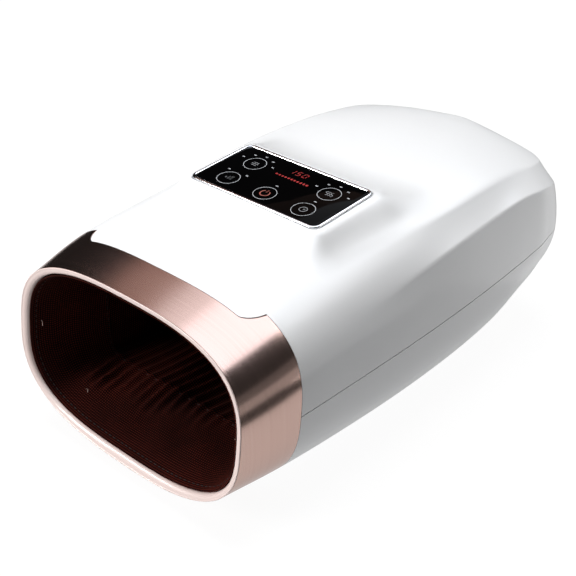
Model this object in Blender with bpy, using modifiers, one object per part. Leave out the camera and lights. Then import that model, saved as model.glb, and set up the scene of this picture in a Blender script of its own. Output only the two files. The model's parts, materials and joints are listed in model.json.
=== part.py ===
"""A cordless air-compression hand massager: white two-part body, metallic mouth ring, touch panel, and its works."""
import bmesh
import bpy
from math import cos, pi, sin, sqrt
from mathutils import Matrix, Vector

# Body, metres, in the mouth frame: x across, y into the body from the mouth's middle, z up from the mouth's axis
MOUTH_HEIGHT = 0.094
MOUTH_LEAN = 0.0114
MOUTH_BOW = 0.0017
BODY_WIDTH = 0.172
MOUTH_STEP = 0.0060
MOUTH_WIDTH = BODY_WIDTH - 2 * MOUTH_STEP
BODY_DEPTH = 0.2935
RING_DEPTH = 0.0332
DECK_RISE = 0.0625
BELLY_DROP = 0.052
AXIS_HEIGHT = 0.054
SHELL_WALL = 0.0025
SEAM_LAND = 0.0012
GAP = 0.0003
OVERRUN = 0.004
MERGE = 0.0001

# One entry for each station from mouth to tail: x as a share of half the width, y of the depth, z of the rise.
# Station 0 takes its shares of the mouth's own sizes, and station 1 its y share of the ring's depth
SPINE_SHARES = (
    (0, 0.0, 1.0), (0, 1.0, 0.866), (0, 0.255, 0.950), (0, 0.410, 0.992), (0, 0.562, 1.0), (0, 0.695, 0.980),
    (0, 0.775, 0.952), (0, 0.835, 0.920), (0, 0.880, 0.890), (0, 0.905, 0.868), (0, 0.925, 0.850))
CREASE_SHARES = (
    (0.710, 0.0, 0.825), (0.703, 1.0, 0.744), (0.760, 0.255, 0.840), (0.791, 0.414, 0.874), (0.789, 0.568, 0.880),
    (0.771, 0.703, 0.873), (0.759, 0.798, 0.832), (0.758, 0.861, 0.781), (0.694, 0.911, 0.737),
    (0.484, 0.939, 0.733), (0, 0.963, 0.736))
RIDGE_SHARES = (
    (0.925, 0.0, 0.585), (0.922, 1.0, 0.510), (0.942, 0.245, 0.583), (0.960, 0.389, 0.658), (0.958, 0.532, 0.691),
    (0.939, 0.663, 0.705), (0.933, 0.753, 0.707), (0.919, 0.837, 0.655), (0.819, 0.913, 0.567),
    (0.515, 0.957, 0.505), (0, 0.984, 0.500))
PARTING_SHARES = (
    (1.0, 0.0, 0.0), (0.983, 1.0, 0.064), (0.994, 0.255, 0.064), (1.0, 0.410, 0.064), (0.996, 0.555, 0.072),
    (0.977, 0.688, 0.078), (0.958, 0.782, 0.088), (0.932, 0.854, 0.100), (0.846, 0.928, 0.114), (0.535, 0.972, 0.122),
    (0, 1.0, 0.125))
# z here is a share of the belly's drop
BELLY_SHARES = (
    (0, 0.0, 1.0), (0, 1.0, 0.965), (0, 0.255, 1.0), (0, 0.410, 1.0), (0, 0.562, 1.0), (0, 0.690, 1.0),
    (0, 0.765, 1.0), (0, 0.820, 0.985), (0, 0.860, 0.960), (0, 0.880, 0.940), (0, 0.900, 0.920))
# How square each section is, above and below the parting line, and how far it leans with the mouth
TOP_POWER_SHARES = (3.02, 3.0, 2.9, 2.8, 2.8, 2.8, 2.8, 2.8, 2.8, 2.8, 2.8)
LOW_POWER_SHARES = (2.49, 2.6, 2.8, 3.0, 3.0, 2.8, 2.3, 2.05, 1.95, 1.9, 1.9)
LEAN_SHARES = (1.0, 0.74, 0.4, 0.1, 0, 0, 0, 0, 0, 0, 0)
# The cove fades in between these two stations; the four break angles are shares of a quarter turn. Its hollow is a
# share of a quarter ellipse's
COVE_START_STATION = 1.9
COVE_FULL_STATION = 4.3
BREAK_ANGLE_SHARES = (1.0, 0.565, 0.345, 0.0)
FLANK_BULGE_POWER = 1.8
COVE_HOLLOW_SHARE = 0.1
DECK, COVE, FLANK, PARTING, BELLY = range(5)
MOUTH_STATION, RING_STATION, TAIL_STATION = 0, 1, 10
EDGE_SEARCH_STATIONS = (0.4, 1.3)

# Mouth ring, tongue and lip
RING_WALL = 0.0010
TONGUE_REACH = 0.0105
TONGUE_SIDE = 0.0205
TONGUE_ROUND = 0.0075
TONGUE_TIP = MOUTH_WIDTH / 2 - TONGUE_SIDE
TONGUE_FLAT = TONGUE_TIP - TONGUE_ROUND
TONGUE_POWER = 1.6
LIP_SIDE = 0.0042
LIP_TOP = 0.0039
LIP_BOTTOM = 0.0060
LIP_RECESS = 0.0014
LIP_THICKNESS = 0.0016
LIP_POWER_SHARES = (3.0, 2.75)
FUNNEL_END = 0.0400
FUNNEL_POWER = 10.0
THROAT_SHARES = (0.12, 0.4, 0.7, 1.0)

# Touch panel
GLASS_WIDTH = 0.0840
GLASS_DEPTH = 0.0422
GLASS_THICKNESS = 0.0020
GLASS_CORNER = 0.0025
PANEL_Y = 0.11135
PANEL_RISE = 0.00415
PANEL_Z = DECK_RISE + PANEL_RISE
PANEL_PITCH = 0.0640
FRAME_RIM = 0.0020
FRAME_HEIGHT = 0.0030
FRAME_PROUD = 0.0008
POD_MARGIN = 0.0022
POD_FLARE = 0.0120
POD_HEIGHT = 0.0125
POD_CORNER = 0.0050
BOARD_THICKNESS = 0.0012
BOARD_MARGIN = 0.0030

# Tunnel that the hand goes into
TUNNEL_SIDE = 0.0227
TUNNEL_WIDTH = BODY_WIDTH - 2 * TUNNEL_SIDE
TUNNEL_ROOF = 0.0160
TUNNEL_TOP = DECK_RISE - TUNNEL_ROOF
TUNNEL_FLOOR = -0.0410
WORKS_DEPTH = 0.1082
TUNNEL_TAPER_SHARE = 0.905
TUNNEL_CORNER = 0.0125
TUNNEL_WALL = 0.0020
LUG_LENGTH = 0.0090
LUG_REACH = 0.0090
LUG_THICKNESS = 0.0030
LUG_Y_SHARES = (0.22, 0.78)
PORT_HEIGHT_SHARE = 0.6
LINER_WALL = 0.0012
LINER_CLEARANCE = 0.0005
LINER_EDGE_SHARE = 0.85
PLATE_CLEARANCE = 0.0006
PLATE_THICKNESS = 0.0024
PLATE_FRONT_GAP = 0.0015
PRESS_TRAVEL = 0.0080
PRESS_BAG_HEIGHT = 0.0060
FLOOR_BAG_HEIGHT = 0.0030
HEATER_THICKNESS = 0.0008
DOME_RADIUS = 0.0050
DOME_HEIGHT = 0.0015
DOME_TOP_SHARE = 0.5
DOME_COLUMNS = 4
DOME_ROWS = 5

# Works behind the tunnel
FLOOR_DECK = -0.0415
PUMP_X = 0.0340
PUMP_SETBACK = 0.0755
PUMP_Y = BODY_DEPTH - PUMP_SETBACK
MOTOR_RADIUS = 0.0120
MOTOR_LENGTH = 0.0320
MOTOR_EDGE = 0.0012
MOTOR_NOSE_BORE = 0.0018
MOTOR_NOSE_DEPTH = 0.0080
HEAD_SIDE = 0.0264
HEAD_LENGTH = 0.0180
HEAD_WALL = 0.0016
CAM_RADIUS = 0.0080
CAM_THICKNESS = 0.0060
CAM_OFFSET = 0.0020
CAM_CLEARANCE = 0.0012
SHAFT_RADIUS = 0.0012
NIPPLE_RADIUS = 0.0018
NIPPLE_LENGTH = 0.0050
HOSE_RADIUS = 0.0022
HOSE_BEND = 0.0100
HOSE_DIP = 0.0090
HOSE_ARCH = 0.0140
COVER_THICKNESS = 0.0050
COVER_EDGE = 0.0010
CRADLE_LENGTH = 0.0240
CRADLE_WIDTH = 0.0200
CRADLE_FLOOR = 0.0024
CRADLE_HOLD_SHARE = 0.62
VALVE_X = -0.0325
VALVE_PITCH = 0.0145
VALVE_WIDTH = 0.0130
VALVE_DEPTH = 0.0140
VALVE_HEIGHT = 0.0220
VALVE_BORE = 0.0034
VALVE_FLOOR = 0.0030
VALVE_PORT_SHARE = 0.60
PLUNGER_RADIUS = 0.0030
PLUNGER_LENGTH = 0.0140
PLUNGER_TRAVEL = 0.0015
SPRING_RADIUS = 0.0023
SPRING_WIRE = 0.0003
SPRING_LENGTH = 0.0050
SPRING_TURNS = 3
MANIFOLD_HEIGHT = 0.0080
MANIFOLD_MARGIN = 0.0010
MANIFOLD_LAND = 0.0066
BATTERY_RADIUS = 0.0092
BATTERY_LENGTH = 0.0650
BATTERY_SETBACK = 0.0505
BATTERY_Y = BODY_DEPTH - BATTERY_SETBACK
BATTERY_TIP = 0.0026
BATTERY_TIP_HEIGHT = 0.0008
HOLDER_WALL = 0.0015
HOLDER_HEIGHT = 0.0280
MAIN_BOARD_WIDTH = 0.0640
MAIN_BOARD_DEPTH = 0.0460
MAIN_BOARD_SETBACK = 0.0645
MAIN_BOARD_Y = BODY_DEPTH - MAIN_BOARD_SETBACK
MAIN_BOARD_DROP = 0.0285
MAIN_BOARD_Z = DECK_RISE - MAIN_BOARD_DROP
MAIN_BOARD_THICKNESS = 0.0016
BOARD_HOLE_INSET = 0.0045
POST_WALL = 0.0016
CHIP_SIZE = 0.0100
CHIP_HEIGHT = 0.0018
CONNECTOR_LENGTH = 0.0120
CONNECTOR_WIDTH = 0.0050
CONNECTOR_HEIGHT = 0.0060
CHIP_PLACE_SHARES = (-0.3, 0.25)
CONNECTOR_PLACE_SHARES = (-0.75, 0.75)

# Fasteners, feet and socket
SCREW_RADIUS = 0.0014
SCREW_HEAD_RADIUS = 0.0027
SCREW_HEAD_HEIGHT = 0.0018
SMALL_SCREW_LENGTH = 0.0080
CASE_SCREW_LENGTH = 0.0160
CASE_BOSS_RADIUS = 0.0050
CASE_BOSS_PLACE_SHARES = ((0.640, 0.699), (0.500, 0.890))
CASE_BOSS_TOP = 0.0020
CASE_SEAT_DROP = 0.0080
FOOT_RADIUS = 0.0080
FOOT_POCKET = -0.0486
FOOT_PLACE_SHARES = ((0.34, 0.19), (0.34, 0.76))
FOOT_EDGE = 0.0008
SOCKET_WIDTH = 0.0105
SOCKET_HEIGHT = 0.0046
SOCKET_LENGTH = 0.0100
SOCKET_Z = -0.0140
SOCKET_WALL = 0.0006
SOCKET_TONGUE = 0.0008
SOCKET_RECESS = 0.0006
SOCKET_BRACKET = 0.0030

COLLECTION = bpy.data.collections.new("hand_massager")
GUIDES = bpy.data.collections.new("hand_massager_cutters")


def material(name, colour, roughness, metallic=0.0):
    """A Principled material with the part's colour, roughness and metallic value."""
    made = bpy.data.materials.get(name)
    if made is None:
        made = bpy.data.materials.new(name)
        made.use_nodes = True
        shader = made.node_tree.nodes["Principled BSDF"]
        shader.inputs["Base Color"].default_value = (*colour, 1.0)
        shader.inputs["Roughness"].default_value = roughness
        shader.inputs["Metallic"].default_value = metallic
    return made


def finish_white():
    return material("shell_white", (0.86, 0.87, 0.88), 0.3)


def finish_rose():
    return material("ring_rose_metal", (0.55, 0.38, 0.33), 0.25, 1.0)


def finish_pink():
    return material("lip_pale_pink", (0.80, 0.68, 0.64), 0.4)


def finish_chrome():
    return material("frame_chrome", (0.85, 0.85, 0.86), 0.08, 1.0)


def finish_glass():
    return material("touch_glass_black", (0.01, 0.01, 0.012), 0.06)


def finish_board():
    return material("board_green", (0.03, 0.16, 0.08), 0.5)


def finish_fabric():
    return material("liner_dark_fabric", (0.035, 0.012, 0.008), 0.9)


def finish_tray():
    return material("tray_grey_plastic", (0.25, 0.25, 0.26), 0.5)


def finish_bag():
    return material("airbag_black_film", (0.03, 0.03, 0.035), 0.45)


def finish_plate():
    return material("plate_ivory_plastic", (0.70, 0.68, 0.62), 0.5)


def finish_heater():
    return material("heater_amber_film", (0.55, 0.25, 0.05), 0.4)


def finish_steel():
    return material("steel_bright", (0.60, 0.60, 0.61), 0.3, 1.0)


def finish_black():
    return material("black_plastic", (0.03, 0.03, 0.03), 0.5)


def finish_rubber():
    return material("rubber_dark", (0.05, 0.05, 0.05), 0.85)


def finish_hose():
    return material("hose_silicone", (0.75, 0.76, 0.76), 0.45)


def finish_battery():
    return material("battery_blue_sleeve", (0.05, 0.15, 0.45), 0.4)


# The empty that stands at the mouth's middle, and the one on the panel's face


def add_empty(name, place, parent=None, pitch=0.0):
    holder = bpy.data.objects.new(name, None)
    holder.empty_display_size = SHELL_WALL
    GUIDES.objects.link(holder)
    holder.location = place
    holder.rotation_euler = (pitch, 0, 0)
    holder.parent = parent
    return holder


def settle(made, name, collection, parent, finish, place, turn):
    """Names an object, links it, parents and places it, and gives it its material."""
    made.name = name
    for owner in list(made.users_collection):
        owner.objects.unlink(made)
    collection.objects.link(made)
    made.parent = parent
    made.location = place
    made.rotation_euler = turn
    if made.type in ("MESH", "CURVE"):
        made.data.name = name
        if finish is not None:
            made.data.materials.clear()
            made.data.materials.append(finish)
    return made


def add_part(made, name, finish, parent, place=(0, 0, 0), turn=(0, 0, 0)):
    return settle(made, name, COLLECTION, parent, finish, place, turn)


def add_guide(made, name, parent, place=(0, 0, 0), turn=(0, 0, 0)):
    settle(made, name, GUIDES, parent, None, place, turn)
    made.hide_render = True
    made.display_type = "WIRE"
    return made


def object_from(bm, name):
    mesh = bpy.data.meshes.new(name)
    bm.to_mesh(mesh)
    bm.free()
    return bpy.data.objects.new(name, mesh)


def smooth(made, angle_share=1 / 6):
    """Shades a mesh smooth, with edges sharper than a share of a half turn left sharp."""
    made.data.shade_smooth()
    made.data.set_sharp_from_angle(angle=pi * angle_share)
    return made


def bevel(made, width, segments=2, angle_share=1 / 6):
    step = made.modifiers.new("edge", "BEVEL")
    step.width = width
    step.segments = segments
    step.limit_method = "ANGLE"
    step.angle_limit = pi * angle_share
    return made


def boolean(made, other, operation="DIFFERENCE"):
    step = made.modifiers.new(operation.lower(), "BOOLEAN")
    step.operation = operation
    step.solver = "EXACT"
    step.object = other
    return made


def cube(size, centre=(0, 0, 0), name="block"):
    bm = bmesh.new()
    bmesh.ops.create_cube(bm, size=1)
    bmesh.ops.scale(bm, vec=size, verts=bm.verts)
    bmesh.ops.translate(bm, vec=centre, verts=bm.verts)
    return object_from(bm, name)


def add_cylinder(bm, radius, low, high, sides=24, top_radius=None, turn=None, place=(0, 0, 0)):
    """Adds a capped cylinder or cone along z between two heights, then turns and places it."""
    matrix = Matrix.Translation(place) @ (turn or Matrix()) @ Matrix.Translation((0, 0, (low + high) / 2))
    bmesh.ops.create_cone(bm, cap_ends=True, segments=sides, radius1=radius,
                          radius2=radius if top_radius is None else top_radius, depth=high - low, matrix=matrix)


def cylinder(radius, low, high, sides=20, name="round", turn=None, place=(0, 0, 0)):
    bm = bmesh.new()
    add_cylinder(bm, radius, low, high, sides, turn=turn, place=place)
    return object_from(bm, name)


def turned(name, profile, steps=18):
    """A solid turned about z from a profile of (radius, height) pairs, top to bottom."""
    bm = bmesh.new()
    points = [bm.verts.new((radius, 0, height)) for radius, height in profile]
    for start, end in zip(points, points[1:]):
        bm.edges.new((start, end))
    made = object_from(bm, name)
    screw = made.modifiers.new("turn", "SCREW")
    screw.axis = "Z"
    screw.steps = steps
    screw.render_steps = steps
    screw.use_merge_vertices = True
    screw.merge_threshold = MERGE
    screw.use_smooth_shade = True
    return made


def rounded_outline(width, depth, corner, corner_steps=4):
    """Points round a rectangle with arcs at its corners, counter-clockwise."""
    points = []
    for quarter in range(4):
        turn = quarter * pi / 2
        side_x = 1 if quarter in (0, 3) else -1
        side_y = 1 if quarter in (0, 1) else -1
        centre_x = side_x * (width / 2 - corner)
        centre_y = side_y * (depth / 2 - corner)
        for step in range(corner_steps + 1):
            angle = turn + step * pi / 2 / corner_steps
            points.append((centre_x + corner * cos(angle), centre_y + corner * sin(angle)))
    return points


def flat_plate(name, outlines, thickness):
    """A flat solid whose middle plane is z = 0, from closed outlines; inner outlines are holes."""
    curve = bpy.data.curves.new(name, "CURVE")
    curve.dimensions = "2D"
    curve.fill_mode = "BOTH"
    curve.extrude = thickness / 2
    for outline in outlines:
        spline = curve.splines.new("POLY")
        spline.points.add(len(outline) - 1)
        spline.use_cyclic_u = True
        for point, (x, y) in zip(spline.points, outline):
            point.co = (x, y, 0, 1)
    return solid_from_curve(bpy.data.objects.new(name, curve))


def solid_from_curve(source):
    """Makes a curve object a mesh object with its caps welded, and removes the curve."""
    bpy.context.scene.collection.objects.link(source)
    graph = bpy.context.evaluated_depsgraph_get()
    mesh = bpy.data.meshes.new_from_object(source.evaluated_get(graph))
    bm = bmesh.new()
    bm.from_mesh(mesh)
    bmesh.ops.remove_doubles(bm, verts=bm.verts, dist=MERGE / 10)
    bm.to_mesh(mesh)
    bm.free()
    made = bpy.data.objects.new(source.name, mesh)
    made.matrix_world = source.matrix_world
    bpy.data.objects.remove(source)
    return made


def tube(name, points, radius, bevel_resolution=2):
    """A round bar along a chain of points, with filled caps."""
    curve = bpy.data.curves.new(name, "CURVE")
    curve.dimensions = "3D"
    curve.bevel_depth = radius
    curve.bevel_resolution = bevel_resolution
    curve.use_fill_caps = True
    spline = curve.splines.new("POLY")
    spline.points.add(len(points) - 1)
    for point, place in zip(spline.points, points):
        point.co = (*place, 1)
    return bpy.data.objects.new(name, curve)


# Body surface


def smooth_step(value):
    value = min(max(value, 0.0), 1.0)
    return value * value * (3 - 2 * value)


def mix(start, end, part):
    return tuple(a + (b - a) * part for a, b in zip(start, end))


def along(table, station, mirrored=True):
    """A smooth curve through a station table; at the tail it runs square into its mirror image."""
    last = len(table) - 1
    index = min(max(int(station), 0), last - 1)
    part = station - index
    start, end = table[index], table[index + 1]
    before = table[index - 1] if index else mix(end, start, 2)
    if index + 2 <= last:
        after = table[index + 2]
    elif mirrored:
        after = (-start[0], *start[1:])
    else:
        after = mix(start, end, 2)
    return tuple(
        b + 0.5 * part * (c - a + part * (2 * a - 5 * b + 4 * c - d + part * (3 * b - a - 3 * c + d)))
        for a, b, c, d in zip(before, start, end, after))


def number_along(table, station):
    return along([(value,) for value in table], station, mirrored=False)[0]


def rail(table, height, mouth_height):
    """A rail's points: the mouth's own sizes set station 0, and the ring's depth sets station 1."""
    points = [(table[0][0] * MOUTH_WIDTH / 2, 0, table[0][2] * mouth_height)]
    for station, (x_share, y_share, z_share) in enumerate(table[1:], RING_STATION):
        depth = RING_DEPTH if station == RING_STATION else BODY_DEPTH
        points.append((x_share * BODY_WIDTH / 2, y_share * depth, z_share * height))
    return points


SPINE = rail(SPINE_SHARES, DECK_RISE, MOUTH_HEIGHT / 2)
CREASE = rail(CREASE_SHARES, DECK_RISE, MOUTH_HEIGHT / 2)
RIDGE = rail(RIDGE_SHARES, DECK_RISE, MOUTH_HEIGHT / 2)
SEAM = rail(PARTING_SHARES, DECK_RISE, MOUTH_HEIGHT / 2)
KEEL = rail(BELLY_SHARES, -BELLY_DROP, -MOUTH_HEIGHT / 2)


def superellipse(angle, power):
    across, up = abs(cos(angle)), abs(sin(angle))
    reach = (across ** power + up ** power) ** (-1 / power)
    return reach * across, reach * up


def body_point(station, level):
    """A point of the outer surface, right half: levels 0 to 1 deck, 2 cove, 3 flank, 4 belly."""
    spine = along(SPINE, station)
    parting = along(SEAM, station)
    if level > PARTING:
        belly = along(KEEL, station)
        across, down = superellipse((level - PARTING) * pi / 2, number_along(LOW_POWER_SHARES, station))
        x, y, _ = mix(belly, parting, across)
        z = parting[2] + (belly[2] - parting[2]) * down
    else:
        band = min(int(level), FLANK)
        part = level - band
        share = BREAK_ANGLE_SHARES[band] + (BREAK_ANGLE_SHARES[band + 1] - BREAK_ANGLE_SHARES[band]) * part
        across, up = superellipse(share * pi / 2, number_along(TOP_POWER_SHARES, station))
        x, y, _ = mix(spine, parting, across)
        z = parting[2] + (spine[2] - parting[2]) * up
        hardness = smooth_step((station - COVE_START_STATION) / (COVE_FULL_STATION - COVE_START_STATION))
        if hardness > 0:
            crease = along(CREASE, station)
            ridge = along(RIDGE, station)
            if band == DECK:
                plan = mix(spine, crease, part)
                height = crease[2] + (spine[2] - crease[2]) * (1 - part * part)
            elif band == COVE:
                plan = mix(crease, ridge, part + COVE_HOLLOW_SHARE * (1 - cos(part * pi / 2) - part))
                fall = part + COVE_HOLLOW_SHARE * (sin(part * pi / 2) - part)
                height = crease[2] + (ridge[2] - crease[2]) * fall
            else:
                plan = mix(ridge, parting, 1 - (1 - part) ** FLANK_BULGE_POWER)
                height = ridge[2] + (parting[2] - ridge[2]) * part
            x, y, z = mix((x, y, z), (plan[0], plan[1], height), hardness)
    y += MOUTH_LEAN / MOUTH_HEIGHT * z * number_along(LEAN_SHARES, station)
    y -= MOUTH_BOW * (2 * x / MOUTH_WIDTH) ** 2 * max(0.0, 1 - station)
    return x, y, z


def tongue_setback(x, z):
    """How far the ring's rear edge steps forward where the upper shell's tongue lies on it."""
    if z < 0:
        return 0.0
    part = min(max((x - TONGUE_FLAT) / (TONGUE_TIP - TONGUE_FLAT), 0.0), 1.0)
    return TONGUE_REACH * (1 - part ** TONGUE_POWER) ** (1 / TONGUE_POWER)


def ring_edge_station(level, shift=0.0):
    """The station where the ring ends and the shells begin, moved along y by a shift; the tongue's side moves too."""
    low, high = EDGE_SEARCH_STATIONS
    rear = body_point(RING_STATION, level)
    target = rear[1] - tongue_setback(rear[0] + 2 * shift, rear[2]) + shift
    for _ in range(30):
        middle = (low + high) / 2
        if body_point(middle, level)[1] < target:
            low = middle
        else:
            high = middle
    return (low + high) / 2


def level_at_x(x):
    """The deck level whose point at the ring's rear edge lies at x."""
    low, high = 0.0, COVE + 0.5
    for _ in range(30):
        middle = (low + high) / 2
        if body_point(RING_STATION, middle)[0] < x:
            low = middle
        else:
            high = middle
    return (low + high) / 2


TIP_LEVEL = level_at_x(TONGUE_TIP)
UPPER_LEVELS = (
    [0.0, 0.22, 0.44, 0.64]
    + [level_at_x(TONGUE_FLAT + (TONGUE_TIP - TONGUE_FLAT) * share) for share in (0.0, 0.55, 0.88)]
    + [TIP_LEVEL, 1.0, 1.33, 1.67, 2.0, 2.33, 2.67])
LOWER_LEVELS = [3.12, 3.24, 3.35, 3.45, 3.55, 3.66, 3.77, 3.89, 4.0]
SHELL_STATIONS = [1.6, 2.3, 3.0, 3.7, 4.4, 5.1, 5.7, 6.3, 6.7, 7.1, 7.5, 7.9, 8.3, 8.7, 9.1, 9.4, 9.7, 10.0]


def parting_point(station, rise):
    x, y, z = body_point(station, PARTING)
    return x, y, z + rise


def half_surface(rows, name):
    """An open surface through rows of points, mirrored across x = 0, with its faces pointing out."""
    bm = bmesh.new()
    grid = [[bm.verts.new(point) for point in row] for row in rows]
    for near, far in zip(grid, grid[1:]):
        for column in range(len(near) - 1):
            bm.faces.new((near[column], near[column + 1], far[column + 1], far[column]))
    bmesh.ops.remove_doubles(bm, verts=bm.verts, dist=MERGE / 10)
    bmesh.ops.dissolve_degenerate(bm, edges=bm.edges, dist=MERGE / 10)
    made = object_from(bm, name)
    mirror = made.modifiers.new("right_and_left", "MIRROR")
    mirror.use_axis = (True, False, False)
    mirror.use_clip = True
    mirror.merge_threshold = MERGE
    return smooth(made)


def thicken(made, wall):
    step = made.modifiers.new("wall", "SOLIDIFY")
    step.thickness = wall
    step.offset = -1
    step.use_even_offset = True
    return made


def upper_rows():
    shift = GAP / 2
    stations = [[ring_edge_station(level, shift) for level in UPPER_LEVELS + [PARTING]]]
    stations += [[station] * (len(UPPER_LEVELS) + 1) for station in SHELL_STATIONS]
    rows = []
    for row in stations:
        points = [body_point(station, level) for station, level in zip(row, UPPER_LEVELS)]
        points.append(parting_point(row[-1], GAP / 2 + SEAM_LAND))
        points.append(parting_point(row[-1], GAP / 2))
        rows.append(points)
    return rows


def lower_rows():
    shift = GAP / 2
    stations = [[ring_edge_station(level, shift) for level in [PARTING] + LOWER_LEVELS]]
    stations += [[station] * (len(LOWER_LEVELS) + 1) for station in SHELL_STATIONS]
    rows = []
    for row in stations:
        points = [parting_point(row[0], -GAP / 2), parting_point(row[0], -GAP / 2 - SEAM_LAND)]
        points += [body_point(station, level) for station, level in zip(row[1:], LOWER_LEVELS)]
        rows.append(points)
    return rows


def ring_rows():
    levels = UPPER_LEVELS + [PARTING] + LOWER_LEVELS
    ends = [ring_edge_station(level, -GAP / 2) for level in levels]
    return [[body_point(end * share, level) for end, level in zip(ends, levels)] for share in (0.0, 0.5, 1.0)]


def body_core():
    """The body's outer form drawn in by half a wall, closed at the front: bosses are trimmed to it."""
    levels = UPPER_LEVELS + [PARTING] + LOWER_LEVELS
    rows = [[body_point(station, level) for level in levels] for station in [RING_STATION] + SHELL_STATIONS]
    bm = bmesh.new()
    grid = [[bm.verts.new(point) for point in row] for row in rows]
    for near, far in zip(grid, grid[1:]):
        for column in range(len(near) - 1):
            bm.faces.new((near[column], near[column + 1], far[column + 1], far[column]))
    bmesh.ops.remove_doubles(bm, verts=bm.verts, dist=MERGE / 10)
    mirrored = bmesh.ops.duplicate(bm, geom=bm.verts[:] + bm.edges[:] + bm.faces[:])["geom"]
    copies = [item for item in mirrored if isinstance(item, bmesh.types.BMVert)]
    bmesh.ops.scale(bm, vec=(-1, 1, 1), verts=copies)
    bmesh.ops.reverse_faces(bm, faces=[item for item in mirrored if isinstance(item, bmesh.types.BMFace)])
    bmesh.ops.remove_doubles(bm, verts=bm.verts, dist=MERGE / 10)
    bm.normal_update()
    inward = {vert: vert.co - vert.normal * (SHELL_WALL / 2) for vert in bm.verts}
    for vert, place in inward.items():
        vert.co = place
    bmesh.ops.holes_fill(bm, edges=[edge for edge in bm.edges if edge.is_boundary], sides=0)
    bmesh.ops.recalc_face_normals(bm, faces=bm.faces)
    return object_from(bm, "body_core")


# Sizes that follow from the ones above

BODY_FRONT = -MOUTH_LEAN / 2
BODY_MIDDLE = (BODY_FRONT + BODY_DEPTH) / 2
TUNNEL_FRONT = FUNNEL_END + GAP
TUNNEL_REAR = BODY_DEPTH - WORKS_DEPTH
TUNNEL_LENGTH = TUNNEL_REAR - TUNNEL_FRONT
HOLLOW_HALF = TUNNEL_WIDTH / 2 - TUNNEL_WALL
HOLLOW_TOP = TUNNEL_TOP - TUNNEL_WALL
HOLLOW_FLOOR = TUNNEL_FLOOR + TUNNEL_WALL
HOLLOW_REAR = TUNNEL_REAR - TUNNEL_WALL
HOLLOW_CORNER = TUNNEL_CORNER - TUNNEL_WALL
LINER_OUTER = HOLLOW_HALF - LINER_CLEARANCE
LINER_REAR = HOLLOW_REAR - LINER_CLEARANCE
PLATE_HALF = LINER_OUTER - LINER_WALL - PLATE_CLEARANCE
PLATE_FRONT = TUNNEL_FRONT + PLATE_FRONT_GAP
PLATE_REAR = LINER_REAR - LINER_WALL - PLATE_CLEARANCE
PRESS_TOP = HOLLOW_TOP - PRESS_BAG_HEIGHT - 2 * GAP
PRESS_BOTTOM = PRESS_TOP - PLATE_THICKNESS
HEATER_BOTTOM = PRESS_BOTTOM - GAP - HEATER_THICKNESS
CEILING_TOP = HEATER_BOTTOM - GAP
CEILING_BOTTOM = CEILING_TOP - LINER_WALL
ACU_BOTTOM = HOLLOW_FLOOR + FLOOR_BAG_HEIGHT + 2 * GAP
ACU_TOP = ACU_BOTTOM + PLATE_THICKNESS
FLOOR_BOTTOM = ACU_TOP + DOME_HEIGHT + GAP
FLOOR_TOP = FLOOR_BOTTOM + LINER_WALL
FUNNEL_TOP = CEILING_BOTTOM + LINER_WALL + GAP
FUNNEL_FLOOR = FLOOR_TOP - LINER_WALL - GAP
PUMP_Z = FLOOR_DECK + 2 * GAP + CRADLE_FLOOR + MOTOR_RADIUS
MOTOR_FACE = PUMP_X - MOTOR_LENGTH / 2
HEAD_FRONT = MOTOR_FACE - GAP
HEAD_REAR = HEAD_FRONT - HEAD_LENGTH
COVER_REAR = HEAD_REAR - GAP - COVER_THICKNESS
CAM_X = (HEAD_FRONT + HEAD_REAR + HEAD_WALL) / 2
MANIFOLD_TOP = FLOOR_DECK + GAP + MANIFOLD_HEIGHT
VALVE_BASE = MANIFOLD_TOP + GAP
SPRING_BASE = VALVE_BASE + VALVE_FLOOR + GAP
PLUNGER_BASE = SPRING_BASE + SPRING_LENGTH + GAP
VALVE_PORT_Z = VALVE_BASE + VALVE_HEIGHT * VALVE_PORT_SHARE
BATTERY_LOW_Z = FLOOR_DECK + GAP + HOLDER_WALL + GAP + BATTERY_RADIUS
BATTERY_HIGH_Z = BATTERY_LOW_Z + 2 * BATTERY_RADIUS + GAP
BOARD_TOP = MAIN_BOARD_Z + MAIN_BOARD_THICKNESS / 2
CASE_SEAT = CASE_BOSS_TOP - CASE_SEAT_DROP
SCREW_HOLE = SCREW_RADIUS + GAP
HOLLOW_SLIT = HOLLOW_CORNER - (ACU_BOTTOM - HOLLOW_FLOOR)
ACU_HALF = HOLLOW_HALF - HOLLOW_CORNER + sqrt(HOLLOW_CORNER ** 2 - HOLLOW_SLIT ** 2) - 2 * PLATE_CLEARANCE
FACING_X = (0, pi / 2, 0)
ALONG_X = Matrix.Rotation(pi / 2, 4, "Y")
ALONG_Y = Matrix.Rotation(-pi / 2, 4, "X")


def taper_at(y):
    """How much narrower the tunnel is at y than at its front, as a share."""
    return 1 - (1 - TUNNEL_TAPER_SHARE) * (y - TUNNEL_FRONT) / TUNNEL_LENGTH


def tapered_block(half_width, front, rear, low, high, corner, name):
    """A block along the tunnel that narrows with it, its four long edges rounded."""
    bm = bmesh.new()
    bmesh.ops.create_cube(bm, size=1)
    bmesh.ops.scale(bm, vec=(2 * half_width, rear - front, high - low), verts=bm.verts)
    bmesh.ops.translate(bm, vec=(0, (front + rear) / 2, (low + high) / 2), verts=bm.verts)
    for vert in bm.verts:
        vert.co.x *= taper_at(vert.co.y)
    middle = (front + rear) / 2
    long_edges = [edge for edge in bm.edges if (edge.verts[0].co.y - middle) * (edge.verts[1].co.y - middle) < 0]
    bmesh.ops.bevel(bm, geom=long_edges, offset=corner, segments=4, profile=0.5, affect="EDGES")
    return smooth(object_from(bm, name))


def tapered_outline(half_width, front, rear):
    return [(-half_width * taper_at(front), front), (half_width * taper_at(front), front),
            (half_width * taper_at(rear), rear), (-half_width * taper_at(rear), rear)]


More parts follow.
